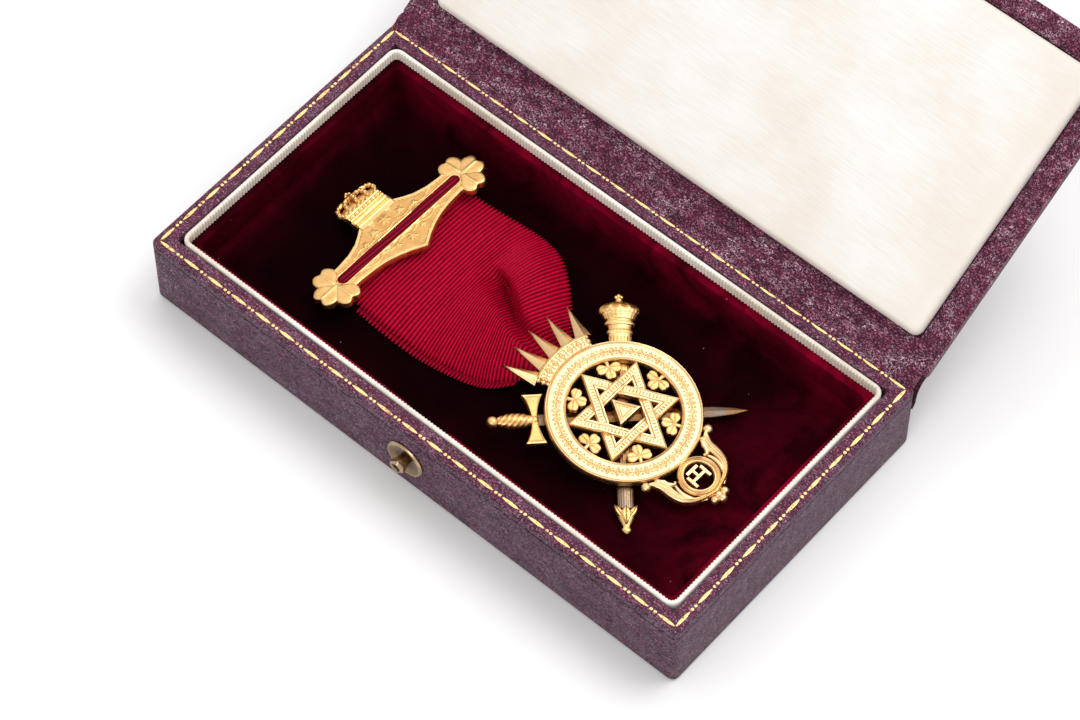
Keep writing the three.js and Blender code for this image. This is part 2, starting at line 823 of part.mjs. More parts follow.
// Three upright T shapes joined at their feet
function tripleTau() {
  const half = TAU_BAR / 2;
  const thick = ringTop * 0.6;
  const reach = SMALL_RING_INNER * 0.66;
  const bar = (u0, u1, v0, v1) =>
    box(SMALL_RING_U + u0, SMALL_RING_U + u1, v0, v1, -thick, thick);
  const wing = SMALL_RING_INNER * 0.75;
  return [
    bar(-reach - half, -reach + half, -wing, wing),
    bar(-reach, half, -half, half),
    bar(-half, half, -reach, reach),
    bar(-wing, wing, reach - half, reach + half),
    bar(-wing, wing, -reach - half, -reach + half),
  ];
}

function scrollFrame() {
  const small = borderedRing(
    SMALL_RING_INNER, SMALL_RING_OUTER, RING_BORDER * 0.7, BORDER_RELIEF, 32,
  ).translate(SMALL_RING_U, 0, 0);
  const start = scrollPoint(SCROLL[0][0], SCROLL[0][1]);
  const curls = [-1, 1].map((side) =>
    new THREE.SphereGeometry(SCROLL_CURL, 10, 8).translate(
      start.x + SCROLL_CURL * 0.6,
      side * (start.y + SCROLL_CURL * 0.3),
      0,
    ),
  );
  const nibs = [-1, 1].map((side) =>
    new THREE.BoxGeometry(NIB_WIDTH, NIB_LENGTH, SCROLL_THICKNESS)
      .rotateZ(side * rad(25))
      .translate(SMALL_RING_U - SMALL_RING_OUTER * 0.52, side * SMALL_RING_OUTER * 1.12, 0),
  );
  const end = SMALL_RING_U + SMALL_RING_OUTER + TERMINAL_BALL;
  const balls = [
    [end + TERMINAL_BALL * 0.9, 0],
    [end, TERMINAL_BALL * 1.5],
    [end, -TERMINAL_BALL * 1.5],
  ].map(([u, v]) => new THREE.SphereGeometry(TERMINAL_BALL, 10, 8).translate(u, v, 0));
  const boss = box(
    end - 2 * TERMINAL_BALL,
    end + TERMINAL_BALL * 0.5,
    -TERMINAL_BALL,
    TERMINAL_BALL,
    -TERMINAL_BALL * 0.6,
    TERMINAL_BALL * 0.6,
  );
  const whole = join([
    scroll(1), scroll(-1), small, ...tripleTau(), ...curls, ...nibs, ...balls, boss,
  ]);
  const ringSpace = new THREE.CylinderGeometry(
    RING_OUTER + GAP, RING_OUTER + GAP, 4 * RING_THICKNESS, 72,
  ).rotateX(Math.PI / 2);
  return cut(whole, [ringSpace]);
}

// Sword, drawn along +X with its centre where it crosses the sceptre

const bladeW = PENDANT_BACK - BLADE_THICKNESS / 2;

function sword() {
  const half = BLADE_WIDTH / 2;
  const thick = BLADE_THICKNESS / 2;
  const shoulder = BLADE_TIP * 0.72;
  const section = (s, width) => [
    [s, 0, -thick * (width / half)],
    [s, width, 0],
    [s, 0, thick * (width / half)],
    [s, -width, 0],
  ];
  const blade = stack([
    section(-GUARD_AT, half),
    section(0, half * 0.98),
    section(shoulder, half * 0.85),
    section(BLADE_TIP * 0.9, half * 0.5),
    section(BLADE_TIP, half * 0.08),
  ]);
  const flare = GUARD_FLARE / 2;
  const waist = GUARD_WAIST / 2;
  const arm = (side) => {
    const shape = new THREE.Shape();
    shape.moveTo(-waist, 0);
    shape.quadraticCurveTo(-waist * 1.2, GUARD_REACH * 0.6, -flare, GUARD_REACH);
    shape.quadraticCurveTo(0, GUARD_REACH * 0.86, flare, GUARD_REACH);
    shape.quadraticCurveTo(waist * 1.2, GUARD_REACH * 0.6, waist, 0);
    shape.closePath();
    return plate(shape, -GUARD_THICKNESS / 2, GUARD_THICKNESS / 2, 5)
      .rotateZ(side < 0 ? Math.PI : 0)
      .translate(-GUARD_AT, 0, 0);
  };
  const gripProfile = [
    [0, 0],
    [GRIP_RADIUS * 0.6, 0],
    [GRIP_RADIUS * 0.92, GRIP_LENGTH * 0.25],
    [GRIP_RADIUS, GRIP_LENGTH * 0.5],
    [GRIP_RADIUS * 0.85, GRIP_LENGTH * 0.8],
    [GRIP_RADIUS * 0.6, GRIP_LENGTH],
    [0, GRIP_LENGTH],
  ];
  const grip = lathe(gripProfile, 14)
    .rotateZ(Math.PI / 2)
    .scale(1, 1, 0.8)
    .translate(-GUARD_AT, 0, 0);
  const boss = new THREE.SphereGeometry(GUARD_WAIST * 0.9, 8, 6)
    .scale(1, 1, 0.8)
    .translate(-GUARD_AT, 0, 0);
  const pommel = new THREE.SphereGeometry(POMMEL_RADIUS, 12, 8).translate(
    -GUARD_AT - GRIP_LENGTH - POMMEL_RADIUS * 0.8,
    0,
    0,
  );
  return join([blade, arm(1), arm(-1), grip, boss, pommel]).translate(0, 0, bladeW);
}

// Sceptre, drawn along +X from its crown head to its foot

const shaftHalf = SHAFT_TOP_RADIUS * SCEPTRE_FLATNESS;
const sceptreW = PENDANT_BACK - shaftHalf;

function sceptre() {
  const head = SCEPTRE_HEAD_RADIUS;
  const top = -SHAFT_TOP_AT;
  const foot = SHAFT_FOOT_AT;
  const profile = [
    [0, top - SCEPTRE_HEAD_LENGTH],
    [head * 0.35, top - SCEPTRE_HEAD_LENGTH * 0.98],
    [head * 0.85, top - SCEPTRE_HEAD_LENGTH * 0.88],
    [head, top - SCEPTRE_HEAD_LENGTH * 0.72],
    [head * 0.82, top - SCEPTRE_HEAD_LENGTH * 0.5],
    [head * 0.6, top - SCEPTRE_HEAD_LENGTH * 0.36],
    [head * 0.62, top - SCEPTRE_HEAD_LENGTH * 0.3],
    [head * 0.82, top - SCEPTRE_HEAD_LENGTH * 0.26],
    [head * 0.82, top - SCEPTRE_HEAD_LENGTH * 0.18],
    [head * 0.6, top - SCEPTRE_HEAD_LENGTH * 0.13],
    [head * 0.68, top - SCEPTRE_HEAD_LENGTH * 0.07],
    [head * 0.64, top],
    [SHAFT_TOP_RADIUS, top],
    [SHAFT_FOOT_RADIUS, foot],
    [SHAFT_FOOT_RADIUS * 1.6, foot + SCEPTRE_FOOT_LENGTH * 0.12],
    [SHAFT_FOOT_RADIUS * 0.9, foot + SCEPTRE_FOOT_LENGTH * 0.4],
    [SHAFT_FOOT_RADIUS * 0.75, foot + SCEPTRE_FOOT_LENGTH * 0.7],
    [SCEPTRE_FINIAL * 0.5, foot + SCEPTRE_FOOT_LENGTH],
    [0, foot + SCEPTRE_FOOT_LENGTH],
  ];
  const body = lathe(profile, 16).rotateZ(-Math.PI / 2).scale(1, 1, SCEPTRE_FLATNESS);
  const finial = (s) => new THREE.SphereGeometry(SCEPTRE_FINIAL, 10, 8).translate(s, 0, 0);
  const whole = join([
    body,
    finial(top - SCEPTRE_HEAD_LENGTH - SCEPTRE_FINIAL * 0.6),
    finial(foot + SCEPTRE_FOOT_LENGTH + SCEPTRE_FINIAL * 0.5),
  ]).translate(0, 0, sceptreW);
  const halved = box(
    -SHAFT_TOP_RADIUS * 4,
    SHAFT_TOP_RADIUS * 4,
    -BLADE_WIDTH / 2 - GAP,
    BLADE_WIDTH / 2 + GAP,
    PENDANT_BACK - BLADE_THICKNESS - GAP,
    PENDANT_BACK + OVERRUN,
  ).rotateZ(rad(SWORD_ANGLE - SCEPTRE_ANGLE));
  return cut(whole, [halved]);
}

// Hanging loop: a flat oval of wire under the crown, which the gathered ribbon passes through
const loopHalf = LOOP_WIDTH / 2;
const loopU = -RING_OUTER - GAP - CROWN_BAND / 2;
const loopDepth = RIBBON_THICKNESS + 4 * GAP;
const loopW = PENDANT_BACK - LOOP_WIRE - loopDepth / 2 - LOOP_WIRE / 2;

function hangingLoop() {
  const outer = box(
    loopU - LOOP_WIRE / 2,
    loopU + LOOP_WIRE / 2,
    -loopHalf,
    loopHalf,
    loopW - loopDepth / 2 - LOOP_WIRE,
    PENDANT_BACK,
  );
  const opening = box(
    loopU - LOOP_WIRE,
    loopU + LOOP_WIRE,
    -loopHalf + LOOP_WIRE,
    loopHalf - LOOP_WIRE,
    loopW - loopDepth / 2,
    loopW + loopDepth / 2,
  );
  return cut(outer, [opening]);
}

// Groups that place the two halves of the jewel on the tray's floor

const barGroup = new THREE.Group();
barGroup.position.set(BAR_X, BAR_Y, TRAY_FLOOR_Z + BAR_LIFT);
barGroup.rotation.set(0, -rad(BAR_TILT), rad(BAR_YAW), "ZYX");
barGroup.updateMatrix();

const pendantGroup = new THREE.Group();
pendantGroup.position.set(PENDANT_X, PENDANT_Y, TRAY_FLOOR_Z + PENDANT_LIFT);
pendantGroup.rotation.set(0, rad(PENDANT_TILT), rad(PENDANT_YAW), "ZYX");
pendantGroup.updateMatrix();

const inBar = (u, v, w) => new THREE.Vector3(u, v, w).applyMatrix4(barGroup.matrix);
const inPendant = (u, v, w) => new THREE.Vector3(u, v, w).applyMatrix4(pendantGroup.matrix);

// Ribbon: a folded sheet from the slot to the loop.
// Columns: share of the way from bar to loop, half width as a share of the ribbon's,
// sideways shift, rise of the middle, fall of the edges and depth of the crease, as shares of the lift.
const RIBBON = [
  [0, 0.955, 0, 0, 0, 0],
  [0.09, 0.97, 0.01, 0, 0, 0],
  [0.2, 0.98, 0.02, 0.05, 0.15, 0],
  [0.36, 1, 0.03, 0.2, 0.4, 0.02],
  [0.52, 0.99, 0.04, 0.32, 0.52, 0.2],
  [0.66, 0.9, 0.04, 0.36, 0.55, 0.42],
  [0.79, 0.71, 0.02, 0.3, 0.5, 0.5],
  [0.89, 0.46, 0.01, 0.18, 0.34, 0.32],
  [0.96, 0.26, 0, 0.02, 0.03, 0.03],
  [1, 0.24, 0, 0, 0, 0],
];
const CREASE_AT = 0.3;
const CREASE_WIDTH = 0.28;

function ribbonRow(s) {
  let k = 0;
  while (k < RIBBON.length - 2 && RIBBON[k + 1][0] < s) k++;
  const t = (s - RIBBON[k][0]) / (RIBBON[k + 1][0] - RIBBON[k][0]);
  const eased = t * t * (3 - 2 * t);
  return RIBBON[k].map((value, column) => value + (RIBBON[k + 1][column] - value) * eased);
}

// A point of the ribbon's middle sheet: s along it, t across it from -1 to 1
function ribbonPoint(s, t) {
  const start = inBar(0, 0, -barTop - GAP - RIBBON_THICKNESS / 2);
  const end = inPendant(loopU + LOOP_WIRE * 2, 0, loopW);
  const [, half, shift, rise, fall, crease] = ribbonRow(s);
  const across = (half * RIBBON_WIDTH) / 2;
  const fold = Math.exp(-(((t - CREASE_AT * (1 - s)) / CREASE_WIDTH) ** 2));
  // The first quarter turns from the bar's own slant to the case's
  const slant = -rad(BAR_YAW) * (1 - Math.min(s * 4, 1));
  return new THREE.Vector3(
    start.x + (end.x - start.x) * s + slant * across * t,
    start.y + (end.y - start.y) * s + shift * RIBBON_WIDTH + across * t,
    start.z + (end.z - start.z) * s + BAR_LIFT * (rise - fall * t * t - crease * fold),
  );
}

function ribbon() {
  const along = 30;
  const acrossSteps = 14;
  const rings = [];
  for (let i = 0; i <= along; i++) {
    const upper = [];
    const lower = [];
    for (let j = 0; j <= acrossSteps; j++) {
      const p = ribbonPoint(i / along, -1 + (2 * j) / acrossSteps);
      upper.push([p.x, p.y, p.z + RIBBON_THICKNESS / 2]);
      lower.push([p.x, p.y, p.z - RIBBON_THICKNESS / 2]);
    }
    rings.push([...lower, ...upper.reverse()]);
  }
  const roll = box(
    -SLOT_WIDTH / 2 + ROLL_CLEARANCE,
    SLOT_WIDTH / 2 - ROLL_CLEARANCE,
    -SLOT_LENGTH / 2 + SLOT_WIDTH / 2,
    SLOT_LENGTH / 2 - SLOT_WIDTH / 2,
    -barTop - GAP - RIBBON_THICKNESS,
    barTop * 0.3,
  );
  const crown = new THREE.CylinderGeometry(
    SLOT_WIDTH / 2 - ROLL_CLEARANCE,
    SLOT_WIDTH / 2 - ROLL_CLEARANCE,
    SLOT_LENGTH - SLOT_WIDTH,
    12,
  ).translate(0, 0, barTop * 0.1);
  return join([stack(rings), ...[roll, crown].map((part) => part.applyMatrix4(barGroup.matrix))]);
}

// Assembly

const root = new THREE.Group();

node(root, "case_base", caseBase(), leather);
node(root, "case_lip", caseLip(), lipSilk);
node(root, "velvet_lining", velvetLining(), velvet);

const buttonGroup = new THREE.Group();
buttonGroup.position.set(0, -CASE_WIDTH / 2, BUTTON_HEIGHT);
root.add(buttonGroup);
node(buttonGroup, "button_cup", buttonCup(), brass);
node(buttonGroup, "push_button", pushButton(), brass);

const hingeGroup = new THREE.Group();
hingeGroup.position.set(0, HINGE_Y, HINGE_Z);
root.add(hingeGroup);
node(
  hingeGroup,
  "hinge_base",
  hingeLeaf(0, -HINGE_LIFT - BASE_LEAF_HEIGHT, -GAP / 2),
  brass,
);
node(hingeGroup, "hinge_pin", barrel(HINGE_PIN_RADIUS, -HINGE_LENGTH / 2, HINGE_LENGTH / 2), brass);

const lidGroup = new THREE.Group();
lidGroup.rotation.x = -rad(LID_OPEN_ANGLE);
hingeGroup.add(lidGroup);
node(lidGroup, "hinge_lid", hingeLeaf(1, GAP / 2, lidInner + LID_EDGE), brass);
node(lidGroup, "lid_board", lidBoard(), leather);
node(lidGroup, "lid_pad", lidPad(), satin);
node(lidGroup, "lid_catch", lidCatch(), brass);

root.add(barGroup);
node(barGroup, "brooch_bar", broochBar(), gilt);
node(barGroup, "brooch_pin", broochPin(), gilt);
node(root, "ribbon", ribbon(), silk);

root.add(pendantGroup);
node(pendantGroup, "hanging_loop", hangingLoop(), gilt);
node(pendantGroup, "jewel_ring", jewelRing(), gilt);
node(pendantGroup, "rayed_crown", rayedCrown(), gilt);
node(pendantGroup, "scroll_frame", scrollFrame(), gilt);
node(pendantGroup, "star", star(), gilt);
node(pendantGroup, "centre_triangle", centreTriangle(), gilt);

const shamrockRadius = RING_INNER - GAP - SHAMROCK_LEAF * 0.85;
for (let i = 0; i < 6; i++) {
  const turn = 30 + 60 * i;
  const [u, v] = polar(shamrockRadius, turn);
  const sprig = node(pendantGroup, `shamrock_${i + 1}`, shamrock(), gilt);
  sprig.position.set(u, v, 0);
  sprig.rotation.z = rad(turn);
}

const swordMesh = node(pendantGroup, "sword", sword(), silver);
swordMesh.rotation.z = rad(SWORD_ANGLE);
const sceptreMesh = node(pendantGroup, "sceptre", sceptre(), gilt);
sceptreMesh.rotation.z = rad(SCEPTRE_ANGLE);

export default root;
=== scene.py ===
import math

import bpy
import numpy as np
from mathutils import Matrix, Vector


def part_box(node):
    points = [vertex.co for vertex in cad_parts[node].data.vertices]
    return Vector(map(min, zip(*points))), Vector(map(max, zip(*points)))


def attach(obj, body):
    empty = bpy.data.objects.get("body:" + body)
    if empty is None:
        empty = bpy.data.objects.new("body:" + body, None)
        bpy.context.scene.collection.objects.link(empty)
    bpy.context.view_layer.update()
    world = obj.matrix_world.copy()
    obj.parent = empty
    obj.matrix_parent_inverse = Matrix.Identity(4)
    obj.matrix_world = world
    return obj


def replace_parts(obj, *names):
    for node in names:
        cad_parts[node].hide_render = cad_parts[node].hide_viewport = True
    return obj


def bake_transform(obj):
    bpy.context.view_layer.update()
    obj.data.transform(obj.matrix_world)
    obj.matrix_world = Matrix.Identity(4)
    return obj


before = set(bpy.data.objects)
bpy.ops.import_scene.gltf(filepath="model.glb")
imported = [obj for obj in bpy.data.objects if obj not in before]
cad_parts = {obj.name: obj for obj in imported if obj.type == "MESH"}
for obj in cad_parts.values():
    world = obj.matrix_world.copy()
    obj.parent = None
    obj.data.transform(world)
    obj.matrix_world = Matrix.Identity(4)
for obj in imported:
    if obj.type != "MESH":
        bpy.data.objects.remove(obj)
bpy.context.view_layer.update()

# The viewpoint: a long lens looks down on the open case from beyond its front right corner.
# The case stands on a plain white table under soft, high-key studio light.
scene = bpy.context.scene
camera_data = bpy.data.cameras.new("camera")
camera_data.sensor_width = 36
camera_data.lens = 133.92
camera_data.shift_x = 0.0464
camera_data.shift_y = 0.00475
camera = bpy.data.objects.new("camera", camera_data)
VIEW_RIGHT = (0.7508, 0.6604, -0.0093)
VIEW_UP = (-0.5512, 0.6343, 0.5421)
VIEW_BACK = (0.36389, -0.40189, 0.84028)
VIEW_PLACE = (0.29945, -0.34267, 0.70575)
view_axes = [(*axis, 0) for axis in (VIEW_RIGHT, VIEW_UP, VIEW_BACK)]
camera.matrix_world = Matrix(view_axes + [(*VIEW_PLACE, 1)]).transposed()
scene.collection.objects.link(camera)
scene.camera = camera
scene.view_settings.view_transform = "Standard"


def add(tree, kind, inputs=None, **settings):
    """One shader node: its settings first, then its sockets, each set to a value or linked to an output."""
    made = tree.nodes.new(kind)
    for key, value in settings.items():
        setattr(made, key, value)
    for key, value in (inputs or {}).items():
        if isinstance(value, bpy.types.NodeSocket):
            tree.links.new(value, made.inputs[key])
        else:
            made.inputs[key].default_value = value
    return made


def material(name, values):
    """A material and its Principled shader, with the plain numbers set on the shader's own sockets."""
    made = bpy.data.materials.new(name)
    made.use_nodes = True
    shader = made.node_tree.nodes["Principled BSDF"]
    for key, value in values.items():
        shader.inputs[key].default_value = value
    return made, made.node_tree, shader


table_material, table_tree, table_shader = material("table_white", {
    "Roughness": 0.9, "Specular IOR Level": 0.1,
})
table_tone = add(table_tree, "ShaderNodeTexNoise", {"Scale": 3.0, "Detail": 1.0})
table_ramp = add(table_tree, "ShaderNodeMix", {
    "Factor": table_tone.outputs["Fac"], 6: (0.9, 0.9, 0.9, 1), 7: (0.93, 0.93, 0.93, 1),
}, data_type="RGBA")
table_tree.links.new(table_ramp.outputs[2], table_shader.inputs["Base Color"])
table_mesh = bpy.data.meshes.new("table")
table_mesh.from_pydata([(-6, -6, 0), (6, -6, 0), (6, 6, 0), (-6, 6, 0)], [], [(0, 1, 2, 3)])
table_mesh.materials.append(table_material)
table = bpy.data.objects.new("table", table_mesh)
scene.collection.objects.link(table)

world = bpy.data.worlds.new("studio")
world.use_nodes = True
world.node_tree.nodes["Background"].inputs["Color"].default_value = (1, 0.99, 0.98, 1)
world.node_tree.nodes["Background"].inputs["Strength"].default_value = 0.8
scene.world = world
for lamp_name, place, power, width in (
    ("rear_softbox", (0.3, 0.5, 1.2), 6.5, 0.7),
    ("overhead_softbox", (-0.5, 0.5, 1.1), 2.2, 0.9),
    ("front_softbox", (0.3, -0.9, 0.7), 2.5, 0.6),
):
    lamp = bpy.data.lights.new(lamp_name, "AREA")
    lamp.energy = power
    lamp.size = width
    holder = bpy.data.objects.new(lamp_name, lamp)
    holder.location = place
    holder.rotation_mode = "QUATERNION"
    holder.rotation_quaternion = Vector(place).to_track_quat("Z", "Y")
    scene.collection.objects.link(holder)

# Case base: a paper-board box covered in dark plum goatskin, turned over a flat rim and down inside.
# Its edges are soft, and a fine blind line runs round the wall where the lid's shadow falls; its groove is
# painted darker as shade.
MM = 0.001
CASE_X, CASE_Y, CASE_Z = 71.25, 37.9, 19.6
RIM = 4.1


def rectangle_rings(half_x, half_y, radius, along_x, along_y, corner):
    """Rings round rectangles with rounded corners, one ring for each row of sizes, counter-clockwise.
    Each side is a straight run at even steps, then a quarter circle about the corner's centre."""
    sizes = np.broadcast_arrays(half_x, half_y, radius)
    half_x, half_y, radius = (np.atleast_1d(size).astype(float)[:, None] for size in sizes)
    signs = [(1, -1), (1, 1), (-1, 1), (-1, -1), (1, -1)]
    parts = []
    for k in range(4):
        turn = k * math.pi / 2
        count = along_x if k % 2 else along_y
        share = np.arange(count) / count
        angle = turn + np.arange(corner) / corner * math.pi / 2
        for shares, angles in ((share, turn), (np.ones(corner), angle)):
            x, y = (
                (signs[k][axis] + (signs[k + 1][axis] - signs[k][axis]) * shares) * (half - radius)
                for axis, half in ((0, half_x), (1, half_y))
            )
            parts.append(np.stack([x + radius * np.cos(angles), y + radius * np.sin(angles)], -1))
    return np.concatenate(parts, 1)


def arc(centre, radius, start, end, count):
    """Rows (inset, height) on a circle in a wall's section, from one angle to another in degrees."""
    angle = np.radians(np.linspace(start, end, count))
    return np.stack([centre[0] - radius * np.cos(angle), centre[1] + radius * np.sin(angle)], -1)


def wall_rings(half_x, half_y, corner, least, section, along_x=40, along_y=20, corner_steps=8):
    """A wall's section of (inset, height) rows carried round a rectangle: each row is the rectangle less
    its inset, and a corner's radius shrinks by the inset down to a least radius."""
    inset, height = section[:, 0], section[:, 1]
    rings = rectangle_rings(
        half_x - inset, half_y - inset, np.maximum(corner - inset, least), along_x, along_y, corner_steps
    )
    return np.concatenate([rings, np.broadcast_to(height[:, None, None], rings.shape[:2] + (1,))], -1)


def skin(grid, around=True, along=False, caps=(True, True), tone=None, facing=None):
    """Faces over a grid of points. `around` joins the last column to the first, `along` the last row to
    the first, and a cap is a fan about its row's mean. The faces are turned so that the enclosed volume
    is positive, or so that an open skin faces the given direction."""
    rows, columns = grid.shape[:2]
    index = np.arange(rows * columns).reshape(rows, columns)
    index = np.hstack([index, index[:, :1]]) if around else index
    index = np.vstack([index, index[:1]]) if along else index
    quads = np.stack([index[:-1, :-1], index[:-1, 1:], index[1:, 1:], index[1:, :-1]], -1).reshape(-1, 4)
    points = grid.reshape(-1, 3)
    tone = np.ones(len(points)) if tone is None else np.broadcast_to(tone, (rows, columns)).reshape(-1)
    fans = []
    for row, order, wanted in ((0, [1, 0, 2], caps[0]), (rows - 1, [0, 1, 2], caps[1])):
        if wanted and around and not along:
            ring = np.arange(columns) + row * columns
            fans.append(np.stack([ring, np.roll(ring, -1), np.full(columns, len(points))], -1)[:, order])
            tone = np.append(tone, tone[ring].mean())
            points = np.vstack([points, grid[row].mean(0)])
    triangles = np.concatenate(fans) if fans else np.zeros((0, 3), int)
    every = np.concatenate([quads[:, [0, 1, 2]], quads[:, [0, 2, 3]], triangles])
    a, b, c = (points[every[:, k]] for k in range(3))
    normal = np.cross(b - a, c - a)
    if ((a * normal).sum() if facing is None else (normal @ np.array(facing)).sum()) < 0:
        quads, triangles = quads[:, ::-1], triangles[:, ::-1]
    return points, quads, triangles, tone


def piece(name, skins, surface, body="case", place=None, sharp=35, uv=None):
    """One object from several skins drawn in millimetres in the frame `place`, riding on a CAD body."""
    points, faces, tones = [], [], []
    start = 0
    for skin_points, quads, triangles, tone in skins:
        points.append(skin_points)
        faces += (quads + start).tolist() + (triangles + start).tolist()
        tones.append(tone)
        start += len(skin_points)
    points = np.concatenate(points)
    if place is not None:
        points = points @ place[:3, :3].T + place[:3, 3]
    mesh = bpy.data.meshes.new(name)
    mesh.from_pydata((points * MM).tolist(), [], faces)
    mesh.attributes.new("tone", "FLOAT", "POINT").data.foreach_set("value", np.concatenate(tones))
    if uv is not None:
        corners = np.zeros(len(mesh.loops), int)
        mesh.loops.foreach_get("vertex_index", corners)
        mesh.uv_layers.new(name="cloth").data.foreach_set("uv", uv[corners].reshape(-1))
    mesh.shade_smooth()
    mesh.set_sharp_from_angle(angle=math.radians(sharp))
    mesh.materials.append(surface)
    made = bpy.data.objects.new(name, mesh)
    scene.collection.objects.link(made)
    if body:
        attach(made, body)
    return made


def shader_group(name, inputs, outputs):
    """A node group with named sockets; inputs have a type and a value."""
    tree = bpy.data.node_groups.new(name, "ShaderNodeTree")
    for label, kind, value in inputs:
        tree.interface.new_socket(label, in_out="INPUT", socket_type=kind).default_value = value
    for label, kind in outputs:
        tree.interface.new_socket(label, in_out="OUTPUT", socket_type=kind)
    return tree, tree.nodes.new("NodeGroupInput"), tree.nodes.new("NodeGroupOutput")


def leather_grain_group():
    """Goatskin grain: pebbles from a Voronoi edge distance on wrinkled coordinates, crossed by fine
    creases. The glints are painted highlights: short curling lines, where a noise passes its middle
    value, in patches."""
    tree, given, result = shader_group(
        "leather_grain",
        [("Vector", "NodeSocketVector", (0, 0, 0)), ("Pebbles", "NodeSocketFloat", 1200.0),
         ("Mottle", "NodeSocketFloat", 160.0), ("PaintedGlint", "NodeSocketFloat", 0.5)],
        [("Height", "NodeSocketFloat"), ("Rubbed", "NodeSocketFloat"), ("PaintedGlint", "NodeSocketFloat")],
    )
    wrinkle = add(tree, "ShaderNodeTexNoise", {
        "Vector": given.outputs["Vector"], "Scale": 700.0, "Detail": 3.0,
    })
    spread = add(tree, "ShaderNodeVectorMath", {
        0: wrinkle.outputs["Color"], "Scale": 0.0017,
    }, operation="SCALE")
    moved = add(tree, "ShaderNodeVectorMath", {0: given.outputs["Vector"], 1: spread.outputs[0]})
    pebbles = add(tree, "ShaderNodeTexVoronoi", {
        "Vector": moved.outputs[0], "Scale": given.outputs["Pebbles"], "Randomness": 1.0,
    }, feature="DISTANCE_TO_EDGE")
    tops = add(tree, "ShaderNodeMapRange", {
        "Value": pebbles.outputs["Distance"], "From Min": 0.0, "From Max": 0.28,
    }, interpolation_type="SMOOTHSTEP")
    creases = add(tree, "ShaderNodeTexNoise", {"Vector": moved.outputs[0], "Scale": 1500.0, "Detail": 4.0})
    height = add(tree, "ShaderNodeMath", {
        0: creases.outputs["Fac"], 1: 1.1, 2: tops.outputs[0],
    }, operation="MULTIPLY_ADD")
    mottle = add(tree, "ShaderNodeTexNoise", {
        "Vector": given.outputs["Vector"], "Scale": given.outputs["Mottle"], "Detail": 6.0, "Roughness": 0.7,
    })
    patches = add(tree, "ShaderNodeTexNoise", {
        "Vector": given.outputs["Vector"], "Scale": 330.0, "Detail": 5.0, "Roughness": 0.7,
    })
    caught = add(tree, "ShaderNodeMapRange", {
        "Value": patches.outputs["Fac"], "From Min": 0.46, "From Max": 0.6,
    })
    curls = add(tree, "ShaderNodeTexNoise", {
        "Vector": given.outputs["Vector"], "Scale": given.outputs["Pebbles"],
        "Detail": 1.5, "Distortion": 0.5,
    })
    middle = add(tree, "ShaderNodeMath", {0: curls.outputs["Fac"], 1: 0.53}, operation="SUBTRACT")
    away = add(tree, "ShaderNodeMath", {0: middle.outputs[0]}, operation="ABSOLUTE")
    net = add(tree, "ShaderNodeMapRange", {
        "Value": away.outputs[0], "From Min": 0.006, "From Max": 0.034, "To Min": 1.0, "To Max": 0.0,
    })
    lines = add(tree, "ShaderNodeMath", {0: net.outputs[0], 1: caught.outputs[0]}, operation="MULTIPLY")
    shown = add(tree, "ShaderNodeMath", {
        0: lines.outputs[0], 1: given.outputs["PaintedGlint"],
    }, operation="MULTIPLY")
    tree.links.new(height.outputs[0], result.inputs["Height"])
    tree.links.new(mottle.outputs["Fac"], result.inputs["Rubbed"])
    tree.links.new(shown.outputs[0], result.inputs["PaintedGlint"])
    return tree


leather_grain = leather_grain_group()


